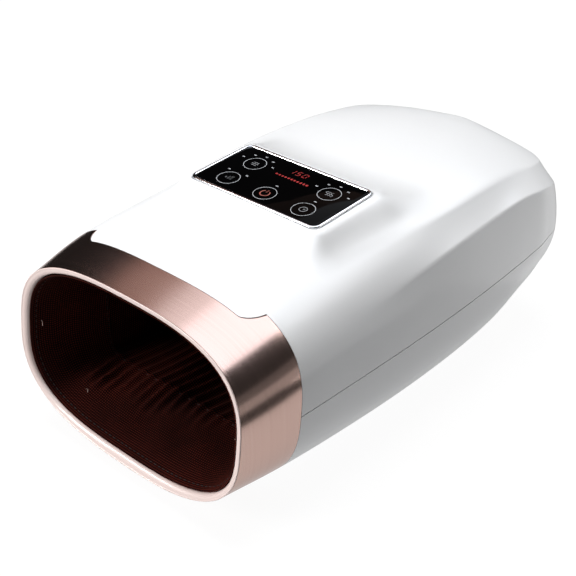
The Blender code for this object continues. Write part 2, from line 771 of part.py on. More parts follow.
def screw_solid(name, length):
    """A pan-head screw, head down, its shank rising from z = 0."""
    return turned(name, [
        (0, length), (SCREW_RADIUS, length), (SCREW_RADIUS, 0), (SCREW_HEAD_RADIUS, 0),
        (SCREW_HEAD_RADIUS, -SCREW_HEAD_HEIGHT), (0, -SCREW_HEAD_HEIGHT)], steps=10)


def posts(name, entries, sides=16):
    """Upright cylinders in one guide; each entry is x, y, low, high, radius."""
    bm = bmesh.new()
    for x, y, low, high, radius in entries:
        add_cylinder(bm, radius, low, high, sides, place=(x, y, 0))
    return object_from(bm, name)


def mirrored_places(shares):
    return [(side * x * BODY_WIDTH / 2, y * BODY_DEPTH) for x, y in shares for side in (-1, 1)]


def case_places():
    return mirrored_places(CASE_BOSS_PLACE_SHARES)


def foot_places():
    return mirrored_places(FOOT_PLACE_SHARES)


def board_places():
    half_x = MAIN_BOARD_WIDTH / 2 - BOARD_HOLE_INSET
    half_y = MAIN_BOARD_DEPTH / 2 - BOARD_HOLE_INSET
    return [(side_x * half_x, MAIN_BOARD_Y + side_y * half_y) for side_y in (-1, 1) for side_x in (-1, 1)]


def tunnel_rest_places():
    return [(side * TUNNEL_WIDTH / 4, TUNNEL_FRONT + share * TUNNEL_LENGTH) for share in (0.15, 0.85)
            for side in (-1, 1)]


def lug_places():
    """Middles of the ears that screw the two halves of the tunnel together."""
    places = []
    for share in LUG_Y_SHARES:
        y = TUNNEL_FRONT + share * TUNNEL_LENGTH
        for side in (-1, 1):
            places.append((side * (TUNNEL_WIDTH / 2 * taper_at(y) + LUG_REACH / 2), y))
    return places


# Casing


def build_upper_shell(mouth, core, panel):
    shell = add_part(thicken(half_surface(upper_rows(), "upper_shell"), SHELL_WALL), "upper_shell", finish_white(), mouth)
    pod = add_guide(pod_solid(), "pod_form", panel)
    boolean(shell, pod, "UNION")
    entries = [(x, y, CASE_BOSS_TOP + GAP / 2, DECK_RISE, CASE_BOSS_RADIUS) for x, y in case_places()]
    entries += [(x, y, BOARD_TOP + GAP, DECK_RISE, SCREW_HOLE + POST_WALL) for x, y in board_places()]
    bosses = add_guide(posts("upper_bosses", entries), "upper_bosses", mouth)
    boolean(bosses, core, "INTERSECT")
    boolean(shell, bosses, "UNION")
    seat = (GLASS_WIDTH + 2 * FRAME_RIM + 2 * GAP, GLASS_DEPTH + 2 * FRAME_RIM + 2 * GAP)
    seat_depth = FRAME_HEIGHT - FRAME_PROUD + GAP
    pocket = flat_plate("panel_pocket", [rounded_outline(*seat, GLASS_CORNER + FRAME_RIM)], seat_depth + OVERRUN)
    pocket = add_guide(pocket, "panel_pocket", panel, (0, 0, GAP - FRAME_PROUD - seat_depth / 2 + OVERRUN / 2))
    window = (GLASS_WIDTH - 2 * BOARD_MARGIN + 2 * GAP, GLASS_DEPTH - 2 * BOARD_MARGIN + 2 * GAP, 4 * POD_HEIGHT)
    boolean(shell, pocket)
    boolean(shell, add_guide(cube(window), "window_cutter", panel))
    pilots = [(x, y, CASE_SEAT, CASE_SEAT + CASE_SCREW_LENGTH + OVERRUN, SCREW_HOLE) for x, y in case_places()]
    pilots += [(x, y, BOARD_TOP - OVERRUN, BOARD_TOP + SMALL_SCREW_LENGTH, SCREW_HOLE) for x, y in board_places()]
    boolean(shell, add_guide(posts("upper_pilots", pilots, 12), "upper_pilots", mouth))
    return shell


def pod_solid():
    """The raised pod under the panel: a low rounded block with flared sides."""
    top = rounded_outline(GLASS_WIDTH + 2 * (FRAME_RIM + POD_MARGIN), GLASS_DEPTH + 2 * (FRAME_RIM + POD_MARGIN),
                          POD_CORNER)
    flare = 2 * (FRAME_RIM + POD_MARGIN + POD_FLARE)
    base = rounded_outline(GLASS_WIDTH + flare, GLASS_DEPTH + flare, POD_CORNER + POD_FLARE)
    bm = bmesh.new()
    lower = [bm.verts.new((x, y, -POD_HEIGHT)) for x, y in base]
    upper = [bm.verts.new((x, y, -FRAME_PROUD)) for x, y in top]
    bm.faces.new(list(reversed(lower)))
    bm.faces.new(upper)
    for index in range(len(lower)):
        after = (index + 1) % len(lower)
        bm.faces.new((lower[index], lower[after], upper[after], upper[index]))
    return object_from(bm, "pod_form")


def tail_wall(height):
    """The y of the body's rear wall, on the middle plane, at a height below the parting line."""
    low, high = PARTING, BELLY
    for _ in range(30):
        middle = (low + high) / 2
        if body_point(TAIL_STATION, middle)[2] > height:
            low = middle
        else:
            high = middle
    return body_point(TAIL_STATION, low)[1]


def build_lower_shell(mouth, core):
    shell = add_part(thicken(half_surface(lower_rows(), "lower_shell"), SHELL_WALL), "lower_shell", finish_white(), mouth)
    deep = -BELLY_DROP
    entries = [(x, y, deep, CASE_BOSS_TOP - GAP / 2, CASE_BOSS_RADIUS) for x, y in case_places()]
    entries += [(x, y, deep, TUNNEL_FLOOR - GAP, CASE_BOSS_RADIUS) for x, y in tunnel_rest_places()]
    rests = [(PUMP_X + side * CRADLE_LENGTH / 4, PUMP_Y) for side in (-1, 1)]
    rests += [(VALVE_X + side * VALVE_PITCH / 2, PUMP_Y) for side in (-1, 1)]
    rests += [(side * BATTERY_LENGTH / 4, BATTERY_Y) for side in (-1, 1)]
    entries += [(x, y, deep, FLOOR_DECK, CASE_BOSS_RADIUS) for x, y in rests]
    bosses = add_guide(posts("lower_bosses", entries), "lower_bosses", mouth)
    boolean(bosses, core, "INTERSECT")
    boolean(shell, bosses, "UNION")
    pads = [(x, y, deep, FOOT_POCKET + SHELL_WALL, FOOT_RADIUS + SHELL_WALL) for x, y in foot_places()]
    pads = add_guide(posts("foot_pads", pads), "foot_pads", mouth)
    boolean(pads, core, "INTERSECT")
    boolean(shell, pads, "UNION")
    wall = tail_wall(SOCKET_Z)
    bracket_low = SOCKET_Z - SOCKET_HEIGHT / 2 - GAP - SOCKET_BRACKET
    bracket = cube((SOCKET_WIDTH, SOCKET_LENGTH, SOCKET_Z - bracket_low),
                   (0, wall - SOCKET_LENGTH / 2, (bracket_low + SOCKET_Z) / 2))
    bracket = add_guide(bracket, "socket_bracket", mouth)
    boolean(bracket, core, "INTERSECT")
    boolean(shell, bracket, "UNION")
    holes = [(x, y, deep - OVERRUN, CASE_BOSS_TOP + OVERRUN, SCREW_HOLE) for x, y in case_places()]
    boolean(shell, add_guide(posts("case_holes", holes, 12), "case_holes", mouth))
    seats = [(x, y, deep - OVERRUN, CASE_SEAT, SCREW_HEAD_RADIUS + GAP) for x, y in case_places()]
    seats += [(x, y, deep - OVERRUN, FOOT_POCKET, FOOT_RADIUS + GAP) for x, y in foot_places()]
    boolean(shell, add_guide(posts("seat_cutters", seats), "seat_cutters", mouth))
    slot = cube((SOCKET_WIDTH + 2 * GAP, 3 * SOCKET_LENGTH, SOCKET_HEIGHT + 2 * GAP), (0, wall, SOCKET_Z))
    boolean(shell, add_guide(slot, "socket_slot", mouth))
    return shell


def build_ring(mouth):
    ring = thicken(half_surface(ring_rows(), "mouth_ring"), RING_WALL)
    return add_part(ring, "mouth_ring", finish_rose(), mouth)


def oval(half_width, top, bottom, powers, steps=44):
    """Points round the mouth as (x, z): a superellipse with unlike upper and lower halves."""
    points = []
    for step in range(steps):
        angle = 2 * pi * step / steps
        across, up = superellipse(angle, powers[0] if sin(angle) >= 0 else powers[1])
        side = 1 if cos(angle) >= 0 else -1
        points.append((side * half_width * across, up * (top if sin(angle) >= 0 else -bottom)))
    return points


def mouth_leaned(shape, y):
    """Places a mouth-shaped loop at a depth y, leaned and bowed as the mouth is."""
    return [(x, y + MOUTH_LEAN / MOUTH_HEIGHT * z - MOUTH_BOW * (2 * x / MOUTH_WIDTH) ** 2, z) for x, z in shape]


def lip_outer(inset, y):
    powers = (TOP_POWER_SHARES[0], LOW_POWER_SHARES[0])
    half_height = MOUTH_HEIGHT / 2 - inset
    return mouth_leaned(oval(MOUTH_WIDTH / 2 - inset, half_height, half_height, powers), y)


def lip_inner(inset, y):
    half_height = MOUTH_HEIGHT / 2 - inset
    shape = oval(MOUTH_WIDTH / 2 - LIP_SIDE - inset, half_height - LIP_TOP, half_height - LIP_BOTTOM, LIP_POWER_SHARES)
    return mouth_leaned(shape, y)


def funnel_end(inset):
    """The loop where the funnel meets the tunnel's front, drawn in by an inset."""
    shape = oval(LINER_OUTER - inset, FUNNEL_TOP - inset, -FUNNEL_FLOOR - inset, (FUNNEL_POWER, FUNNEL_POWER))
    return [(x, FUNNEL_END, z) for x, z in shape]


def throat_loop(share, inset):
    """A loop inside the lip's throat, from its inner edge (share 0) to the tunnel's front (share 1)."""
    return [mix(start, end, share) for start, end in zip(lip_inner(inset, LIP_RECESS), funnel_end(inset))]


def loft_ring(loops, name):
    """A closed ring-shaped solid lofted through loops, the last joined to the first."""
    bm = bmesh.new()
    grid = [[bm.verts.new(point) for point in loop] for loop in loops]
    count = len(grid[0])
    for near, far in zip(grid, grid[1:] + grid[:1]):
        for index in range(count):
            after = (index + 1) % count
            bm.faces.new((near[index], near[after], far[after]))
            bm.faces.new((near[index], far[after], far[index]))
    bmesh.ops.recalc_face_normals(bm, faces=bm.faces)
    return smooth(object_from(bm, name))


def build_lip(mouth):
    edge = RING_WALL + 2 * GAP
    loops = [lip_outer(edge, GAP), throat_loop(0, 0)]
    loops += [throat_loop(share, 0) for share in THROAT_SHARES]
    loops += [throat_loop(share, -LIP_THICKNESS) for share in reversed(THROAT_SHARES)]
    loops += [lip_inner(-LIP_THICKNESS, LIP_RECESS + LIP_THICKNESS), lip_outer(edge, GAP + LIP_THICKNESS)]
    return add_part(loft_ring(loops, "mouth_lip"), "mouth_lip", finish_pink(), mouth)


# Touch panel


def build_panel(panel):
    outer = rounded_outline(GLASS_WIDTH + 2 * FRAME_RIM, GLASS_DEPTH + 2 * FRAME_RIM, GLASS_CORNER + FRAME_RIM)
    inner = rounded_outline(GLASS_WIDTH + 2 * GAP, GLASS_DEPTH + 2 * GAP, GLASS_CORNER)
    frame = flat_plate("panel_frame", [outer, inner], FRAME_HEIGHT)
    add_part(frame, "panel_frame", finish_chrome(), panel, (0, 0, GAP - FRAME_HEIGHT / 2))
    glass = flat_plate("touch_glass", [rounded_outline(GLASS_WIDTH, GLASS_DEPTH, GLASS_CORNER)], GLASS_THICKNESS)
    add_part(glass, "touch_glass", finish_glass(), panel, (0, 0, -GLASS_THICKNESS / 2))
    board_size = (GLASS_WIDTH - 2 * BOARD_MARGIN, GLASS_DEPTH - 2 * BOARD_MARGIN, BOARD_THICKNESS)
    board = cube(board_size)
    add_part(board, "touch_board", finish_board(), panel, (0, 0, -GLASS_THICKNESS - GAP - BOARD_THICKNESS / 2))


# Tunnel


def tunnel_port(upper):
    """Where a tunnel half's air port stands on its rear wall."""
    side, height = (-1, TUNNEL_TOP) if upper else (1, TUNNEL_FLOOR)
    return side * TUNNEL_WIDTH / 6, TUNNEL_REAR, height * PORT_HEIGHT_SHARE


def build_tunnel_half(mouth, name, upper):
    low, high = (GAP / 2, TUNNEL_TOP + OVERRUN) if upper else (TUNNEL_FLOOR - OVERRUN, -GAP / 2)
    tray = tapered_block(TUNNEL_WIDTH / 2, TUNNEL_FRONT, TUNNEL_REAR, TUNNEL_FLOOR, TUNNEL_TOP, TUNNEL_CORNER, name)
    add_part(tray, name, finish_tray(), mouth)
    ears = bmesh.new()
    middle = (LUG_THICKNESS + GAP) / 2 * (1 if upper else -1)
    for x, y in lug_places():
        size = Matrix.Diagonal((LUG_REACH + 2 * TUNNEL_WALL, LUG_LENGTH, LUG_THICKNESS, 1))
        inward = -TUNNEL_WALL / 2 if x > 0 else TUNNEL_WALL / 2
        bmesh.ops.create_cube(ears, size=1, matrix=Matrix.Translation((x + inward, y, middle)) @ size)
    boolean(tray, add_guide(object_from(ears, name + "_ears"), name + "_ears", mouth), "UNION")
    port = cylinder(NIPPLE_RADIUS, -TUNNEL_WALL / 2, NIPPLE_LENGTH, 12, turn=ALONG_Y, place=tunnel_port(upper))
    boolean(tray, add_guide(port, name + "_port", mouth), "UNION")
    hollow = tapered_block(HOLLOW_HALF, TUNNEL_FRONT - OVERRUN, HOLLOW_REAR, HOLLOW_FLOOR, HOLLOW_TOP, HOLLOW_CORNER,
                           name + "_hollow")
    boolean(tray, add_guide(hollow, name + "_hollow", mouth))
    keep = cube((2 * TUNNEL_WIDTH, 2 * TUNNEL_REAR, high - low), (0, TUNNEL_REAR, (low + high) / 2))
    boolean(tray, add_guide(keep, name + "_keep", mouth), "INTERSECT")
    holes = [(x, y, -2 * LUG_THICKNESS, 2 * LUG_THICKNESS, SCREW_HOLE) for x, y in lug_places()]
    boolean(tray, add_guide(posts(name + "_holes", holes, 12), name + "_holes", mouth))
    return tray


def build_tunnel(mouth):
    build_tunnel_half(mouth, "chamber_upper", True)
    build_tunnel_half(mouth, "chamber_lower", False)
    for number, (x, y) in enumerate(lug_places(), 1):
        name = f"chamber_screw_{number}"
        screw = screw_solid(name, SMALL_SCREW_LENGTH)
        add_part(screw, name, finish_steel(), mouth, (x, y, -GAP / 2 - LUG_THICKNESS - GAP))
    build_liner(mouth)
    build_plates(mouth)


def build_liner(mouth):
    """The fabric that lines the tunnel: a funnel behind the lip, side walls, and panels over the two plates."""
    loops = [throat_loop(share, GAP) for share in THROAT_SHARES]
    loops += [throat_loop(share, GAP + LINER_WALL) for share in reversed(THROAT_SHARES)]
    add_part(loft_ring(loops, "liner_funnel"), "liner_funnel", finish_fabric(), mouth)
    outer = tapered_outline(LINER_OUTER, TUNNEL_FRONT, LINER_REAR)
    inner = tapered_outline(LINER_OUTER - LINER_WALL, TUNNEL_FRONT, LINER_REAR - LINER_WALL)
    outline = [outer[0], inner[0], inner[3], inner[2], inner[1], outer[1], outer[2], outer[3]]
    low = HOLLOW_FLOOR + HOLLOW_CORNER * LINER_EDGE_SHARE
    high = HOLLOW_TOP - HOLLOW_CORNER * LINER_EDGE_SHARE
    sides = flat_plate("liner_sides", [outline], high - low)
    add_part(sides, "liner_sides", finish_fabric(), mouth, (0, 0, (low + high) / 2))
    panel = tapered_outline(PLATE_HALF, PLATE_FRONT, PLATE_REAR)
    for name, bottom in (("liner_floor", FLOOR_BOTTOM), ("liner_ceiling", CEILING_BOTTOM)):
        sheet = flat_plate(name, [panel], LINER_WALL)
        add_part(sheet, name, finish_fabric(), mouth, (0, 0, bottom + LINER_WALL / 2))


def build_plates(mouth):
    """The two plates that squeeze the hand, the film heater and the airbags that drive them."""
    outline = tapered_outline(ACU_HALF, PLATE_FRONT, PLATE_REAR)
    lower = add_part(flat_plate("acupressure_plate", [outline], PLATE_THICKNESS), "acupressure_plate", finish_plate(),
                     mouth, (0, 0, ACU_BOTTOM + PLATE_THICKNESS / 2))
    domes = bmesh.new()
    for row in range(DOME_ROWS):
        y = PLATE_FRONT + (row + 0.5) / DOME_ROWS * (PLATE_REAR - PLATE_FRONT)
        for column in range(DOME_COLUMNS):
            x = ((column + 0.5) / DOME_COLUMNS - 0.5) * 2 * ACU_HALF * taper_at(y)
            add_cylinder(domes, DOME_RADIUS, -PLATE_THICKNESS / 2, DOME_HEIGHT, 8, DOME_RADIUS * DOME_TOP_SHARE,
                         place=(x, y, ACU_TOP))
    boolean(lower, add_guide(object_from(domes, "dome_forms"), "dome_forms", mouth), "UNION")
    outline = tapered_outline(PLATE_HALF, PLATE_FRONT, PLATE_REAR)
    upper = flat_plate("press_plate", [outline], PLATE_THICKNESS)
    add_part(upper, "press_plate", finish_plate(), mouth, (0, 0, PRESS_BOTTOM + PLATE_THICKNESS / 2))
    inset = TUNNEL_CORNER
    pad = flat_plate("heating_pad", [tapered_outline(PLATE_HALF - inset, PLATE_FRONT + inset, PLATE_REAR - inset)],
                     HEATER_THICKNESS)
    add_part(pad, "heating_pad", finish_heater(), mouth, (0, 0, HEATER_BOTTOM + HEATER_THICKNESS / 2))
    bag = tapered_outline(HOLLOW_HALF - HOLLOW_CORNER, PLATE_FRONT + PLATE_THICKNESS, PLATE_REAR)
    for name, bottom, height in (("lower_airbag", HOLLOW_FLOOR + GAP, FLOOR_BAG_HEIGHT),
                                 ("upper_airbag", PRESS_TOP + GAP, PRESS_BAG_HEIGHT)):
        add_part(flat_plate(name, [bag], height), name, finish_bag(), mouth, (0, 0, bottom + height / 2))


# Air works


def hose_route(guides, steps=11):
    """Points along a smooth curve steered by guides, with a straight stub at each end."""
    first, last = Vector(guides[0]), Vector(guides[-1])
    start = first + (Vector(guides[1]) - first).normalized() * HOSE_RADIUS
    end = last + (Vector(guides[-2]) - last).normalized() * HOSE_RADIUS
    guides = [start, *guides[1:-1], end]
    route = [first]
    for step in range(steps + 1):
        row = guides
        while len(row) > 1:
            row = [mix(near, far, step / steps) for near, far in zip(row, row[1:])]
        route.append(row[0])
    return route + [last]


def build_pump(mouth):
    half = MOTOR_LENGTH / 2
    motor = turned("pump_motor", [
        (0, half), (MOTOR_RADIUS - MOTOR_EDGE, half), (MOTOR_RADIUS, half - MOTOR_EDGE),
        (MOTOR_RADIUS, MOTOR_EDGE - half), (MOTOR_RADIUS - MOTOR_EDGE, -half), (MOTOR_NOSE_BORE, -half),
        (MOTOR_NOSE_BORE, MOTOR_NOSE_DEPTH - half), (0, MOTOR_NOSE_DEPTH - half)], steps=20)
    add_part(motor, "pump_motor", finish_steel(), mouth, (PUMP_X, PUMP_Y, PUMP_Z), FACING_X)
    head = cube((HEAD_LENGTH, HEAD_SIDE, HEAD_SIDE))
    add_part(head, "pump_head", finish_black(), mouth, ((HEAD_FRONT + HEAD_REAR) / 2, PUMP_Y, PUMP_Z))
    bevel(head, COVER_EDGE, 1)
    chamber = cylinder(CAM_RADIUS + CAM_OFFSET + CAM_CLEARANCE, HEAD_REAR + HEAD_WALL, HEAD_FRONT + OVERRUN,
                       turn=ALONG_X, place=(0, PUMP_Y, PUMP_Z))
    boolean(head, add_guide(chamber, "pump_chamber", mouth))
    cam = cylinder(CAM_RADIUS, -CAM_THICKNESS / 2, CAM_THICKNESS / 2, place=(CAM_OFFSET, 0, 0))
    add_part(smooth(cam), "pump_cam", finish_steel(), mouth, (CAM_X, PUMP_Y, PUMP_Z), FACING_X)
    shaft_end = MOTOR_FACE + MOTOR_NOSE_DEPTH - MOTOR_NOSE_BORE - CAM_X
    shaft = cylinder(SHAFT_RADIUS, 0, shaft_end, 12)
    boolean(cam, add_guide(shaft, "cam_shaft", mouth, (CAM_X, PUMP_Y, PUMP_Z), FACING_X), "UNION")
    cover = cube((COVER_THICKNESS, HEAD_SIDE, HEAD_SIDE))
    cover_x = COVER_REAR + COVER_THICKNESS / 2
    add_part(cover, "pump_cover", finish_black(), mouth, (cover_x, PUMP_Y, PUMP_Z))
    bevel(cover, COVER_EDGE, 1)
    top = PUMP_Z + HEAD_SIDE / 2
    nipple = cylinder(NIPPLE_RADIUS, top - COVER_EDGE, top + NIPPLE_LENGTH, 12, place=(cover_x, PUMP_Y, 0))
    boolean(cover, add_guide(nipple, "cover_nipple", mouth), "UNION")
    cradle_top = PUMP_Z - MOTOR_RADIUS * (1 - CRADLE_HOLD_SHARE)
    cradle_low = FLOOR_DECK + GAP
    cradle = cube((CRADLE_LENGTH, CRADLE_WIDTH, cradle_top - cradle_low))
    add_part(cradle, "pump_cradle", finish_rubber(), mouth, (PUMP_X, PUMP_Y, (cradle_top + cradle_low) / 2))
    hold = cylinder(MOTOR_RADIUS + GAP, -MOTOR_LENGTH, MOTOR_LENGTH, turn=ALONG_X, place=(PUMP_X, PUMP_Y, PUMP_Z))
    boolean(cradle, add_guide(hold, "cradle_hold", mouth))


def valve_places():
    return [(VALVE_X - VALVE_PITCH / 2, PUMP_Y), (VALVE_X + VALVE_PITCH / 2, PUMP_Y)]


def manifold_inlet():
    right = VALVE_X + VALVE_PITCH / 2 + VALVE_WIDTH / 2 + MANIFOLD_LAND
    return right - MANIFOLD_LAND / 2, PUMP_Y


def build_valves(mouth):
    left = VALVE_X - VALVE_PITCH / 2 - VALVE_WIDTH / 2 - MANIFOLD_MARGIN
    inlet_x, inlet_y = manifold_inlet()
    right = inlet_x + MANIFOLD_LAND / 2
    manifold = cube((right - left, VALVE_DEPTH + 2 * MANIFOLD_MARGIN, MANIFOLD_HEIGHT))
    add_part(manifold, "air_manifold", finish_black(), mouth,
             ((left + right) / 2, PUMP_Y, MANIFOLD_TOP - MANIFOLD_HEIGHT / 2))
    nipple = cylinder(NIPPLE_RADIUS, MANIFOLD_TOP - MANIFOLD_HEIGHT / 2, MANIFOLD_TOP + NIPPLE_LENGTH, 12,
                      place=(inlet_x, inlet_y, 0))
    boolean(manifold, add_guide(nipple, "manifold_nipple", mouth), "UNION")
    for number, (x, y) in enumerate(valve_places(), 1):
        name = f"valve_body_{number}"
        body = cube((VALVE_WIDTH, VALVE_DEPTH, VALVE_HEIGHT))
        add_part(body, name, finish_plate(), mouth, (x, y, VALVE_BASE + VALVE_HEIGHT / 2))
        outlet = cylinder(NIPPLE_RADIUS, -NIPPLE_LENGTH, NIPPLE_RADIUS, 12, turn=ALONG_Y,
                          place=(x, y - VALVE_DEPTH / 2, VALVE_PORT_Z))
        boolean(body, add_guide(outlet, f"valve_outlet_{number}", mouth), "UNION")
        bore = cylinder(VALVE_BORE, VALVE_BASE + VALVE_FLOOR, VALVE_BASE + VALVE_HEIGHT + OVERRUN, 20, place=(x, y, 0))
        boolean(body, add_guide(bore, f"valve_bore_{number}", mouth))
        name = f"valve_plunger_{number}"
        plunger = smooth(cylinder(PLUNGER_RADIUS, 0, PLUNGER_LENGTH, 20))
        add_part(plunger, name, finish_steel(), mouth, (x, y, PLUNGER_BASE))
        name = f"valve_spring_{number}"
        add_part(spring(name), name, finish_steel(), mouth, (x, y, SPRING_BASE))


def spring(name, steps=9):
    """A coil spring that stands on z = 0."""
    wound = SPRING_LENGTH - 2 * SPRING_WIRE
    count = SPRING_TURNS * steps
    points = [(SPRING_RADIUS * cos(2 * pi * step / steps), SPRING_RADIUS * sin(2 * pi * step / steps),
               SPRING_WIRE + wound * step / count) for step in range(count + 1)]
    return tube(name, points, SPRING_WIRE)


def build_hoses(mouth):
    """Three hoses: pump to manifold, and each valve to its half of the tunnel."""
    cover_x = COVER_REAR + COVER_THICKNESS / 2
    inlet_x, y = manifold_inlet()
    rise = NIPPLE_LENGTH + GAP
    cover_z = PUMP_Z + HEAD_SIDE / 2 + rise
    top = cover_z + HOSE_ARCH
    arch = [(inlet_x, y, MANIFOLD_TOP + rise), (inlet_x, y, top), (cover_x, y, top), (cover_x, y, cover_z)]
    add_part(tube("pump_hose", hose_route(arch), HOSE_RADIUS), "pump_hose", finish_hose(), mouth)
    for name, place, upper in (("upper_hose", valve_places()[1], True), ("lower_hose", valve_places()[0], False)):
        port_x, port_y, port_z = tunnel_port(upper)
        start_y = place[1] - VALVE_DEPTH / 2 - rise
        end_y = port_y + rise
        guides = [(place[0], start_y, VALVE_PORT_Z), (place[0], start_y - HOSE_BEND, VALVE_PORT_Z)]
        if not upper:
            low = min(port_z, VALVE_PORT_Z) - HOSE_DIP
            guides += [(place[0], (start_y + end_y) / 2, low), (port_x, (start_y + end_y) / 2, low)]
        guides += [(port_x, end_y + HOSE_BEND, port_z), (port_x, end_y, port_z)]
        add_part(tube(name, hose_route(guides), HOSE_RADIUS), name, finish_hose(), mouth)


# Electrical works


def build_battery(mouth):
    half = BATTERY_LENGTH / 2
    edge = BATTERY_TIP_HEIGHT
    for name, z in (("battery_cell_lower", BATTERY_LOW_Z), ("battery_cell_upper", BATTERY_HIGH_Z)):
        cell = turned(name, [
            (0, half), (BATTERY_TIP, half), (BATTERY_TIP, half - edge), (BATTERY_RADIUS - edge, half - edge),
            (BATTERY_RADIUS, half - 2 * edge), (BATTERY_RADIUS, edge - half), (BATTERY_RADIUS - edge, -half),
            (0, -half)])
        add_part(cell, name, finish_battery(), mouth, (0, BATTERY_Y, z), FACING_X)
    inner = (BATTERY_LENGTH + 2 * GAP, 2 * BATTERY_RADIUS + 2 * GAP)
    holder = cube((inner[0] + 2 * HOLDER_WALL, inner[1] + 2 * HOLDER_WALL, HOLDER_HEIGHT))
    low = FLOOR_DECK + GAP
    add_part(holder, "battery_holder", finish_black(), mouth, (0, BATTERY_Y, low + HOLDER_HEIGHT / 2))
    hollow = cube((inner[0], inner[1], HOLDER_HEIGHT), (0, BATTERY_Y, low + HOLDER_WALL + HOLDER_HEIGHT / 2))
    boolean(holder, add_guide(hollow, "holder_hollow", mouth))


def build_board(mouth):
    """The main board hangs from the ceiling on four posts."""
    board = cube((MAIN_BOARD_WIDTH, MAIN_BOARD_DEPTH, MAIN_BOARD_THICKNESS))
    add_part(board, "main_board", finish_board(), mouth, (0, MAIN_BOARD_Y, MAIN_BOARD_Z))
    parts = bmesh.new()
    half_x = MAIN_BOARD_WIDTH / 2
    blocks = [(x * half_x, CHIP_SIZE, CHIP_SIZE, CHIP_HEIGHT) for x in CHIP_PLACE_SHARES]
    blocks += [(x * half_x, CONNECTOR_WIDTH, CONNECTOR_LENGTH, CONNECTOR_HEIGHT) for x in CONNECTOR_PLACE_SHARES]
    low = MAIN_BOARD_Z - MAIN_BOARD_THICKNESS / 2
    for x, width, depth, height in blocks:
        sunk = height + MAIN_BOARD_THICKNESS / 2
        size = Matrix.Diagonal((width, depth, sunk, 1))
        bmesh.ops.create_cube(parts, size=1, matrix=Matrix.Translation((x, MAIN_BOARD_Y, low - height + sunk / 2)) @ size)
    boolean(board, add_guide(object_from(parts, "board_parts"), "board_parts", mouth), "UNION")
    holes = [(x, y, BOARD_TOP - OVERRUN, BOARD_TOP + OVERRUN, SCREW_HOLE) for x, y in board_places()]
    boolean(board, add_guide(posts("board_holes", holes, 12), "board_holes", mouth))
    for number, (x, y) in enumerate(board_places(), 1):
        name = f"board_screw_{number}"
        add_part(screw_solid(name, SMALL_SCREW_LENGTH), name, finish_steel(), mouth, (x, y, low - GAP))


def build_socket(mouth):
    """The charging socket in the rear wall: a thin shell with a tongue inside."""
    rear = tail_wall(SOCKET_Z) - SOCKET_RECESS
    socket = cube((SOCKET_WIDTH, SOCKET_LENGTH, SOCKET_HEIGHT))
    add_part(socket, "charge_socket", finish_steel(), mouth, (0, rear - SOCKET_LENGTH / 2, SOCKET_Z))
    inner = (SOCKET_WIDTH - 2 * SOCKET_WALL, SOCKET_LENGTH, SOCKET_HEIGHT - 2 * SOCKET_WALL)
    hollow = cube(inner, (0, rear - SOCKET_LENGTH / 2 + SOCKET_HEIGHT / 2, SOCKET_Z))
    boolean(socket, add_guide(hollow, "socket_hollow", mouth))
    tongue_size = (SOCKET_WIDTH - 2 * SOCKET_HEIGHT / 2, SOCKET_LENGTH - SOCKET_HEIGHT / 2, SOCKET_TONGUE)
    tongue = cube(tongue_size, (0, rear - SOCKET_LENGTH / 2 - SOCKET_WALL, SOCKET_Z))
    boolean(socket, add_guide(tongue, "socket_tongue", mouth), "UNION")


def build_feet_and_screws(mouth):
    height = FOOT_POCKET - GAP + AXIS_HEIGHT
    for number, (x, y) in enumerate(foot_places(), 1):
        name = f"foot_{number}"
        foot = turned(name, [(0, height), (FOOT_RADIUS, height), (FOOT_RADIUS, FOOT_EDGE),
                             (FOOT_RADIUS - FOOT_EDGE, 0), (0, 0)])
        add_part(foot, name, finish_rubber(), mouth, (x, y, -AXIS_HEIGHT))
    for number, (x, y) in enumerate(case_places(), 1):
        name = f"case_screw_{number}"
        add_part(screw_solid(name, CASE_SCREW_LENGTH), name, finish_steel(), mouth, (x, y, CASE_SEAT - GAP))


def main():
    for old in list(bpy.data.objects):
        bpy.data.objects.remove(old)
    bpy.context.scene.collection.children.link(COLLECTION)
    bpy.context.scene.collection.children.link(GUIDES)
    mouth = add_empty("mouth_axis", (0, -BODY_MIDDLE, AXIS_HEIGHT))
    panel = add_empty("panel_axis", (0, PANEL_Y, PANEL_Z), mouth, PANEL_PITCH)
    core = add_guide(body_core(), "body_core", mouth)
    build_upper_shell(mouth, core, panel)
    build_lower_shell(mouth, core)
    build_ring(mouth)
    build_lip(mouth)
    build_panel(panel)
    build_tunnel(mouth)
    build_pump(mouth)
    build_valves(mouth)
    build_hoses(mouth)
    build_battery(mouth)
    build_board(mouth)
    build_socket(mouth)
    build_feet_and_screws(mouth)


main()
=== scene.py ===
"""Looks, soft parts and studio of a hand massager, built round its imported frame. Lengths are metres.

Shapes are worked out in the mouth frame: x across, y into the body, z up, from the middle of the mouth.
"""

import json
import logging
from dataclasses import dataclass
from enum import Enum
from math import cos, hypot, pi, sin, tan
from typing import Callable, ClassVar, Iterable, Optional, Sequence

import bmesh
import bpy
import numpy as np
from mathutils import Matrix, Vector
from mathutils.bvhtree import BVHTree

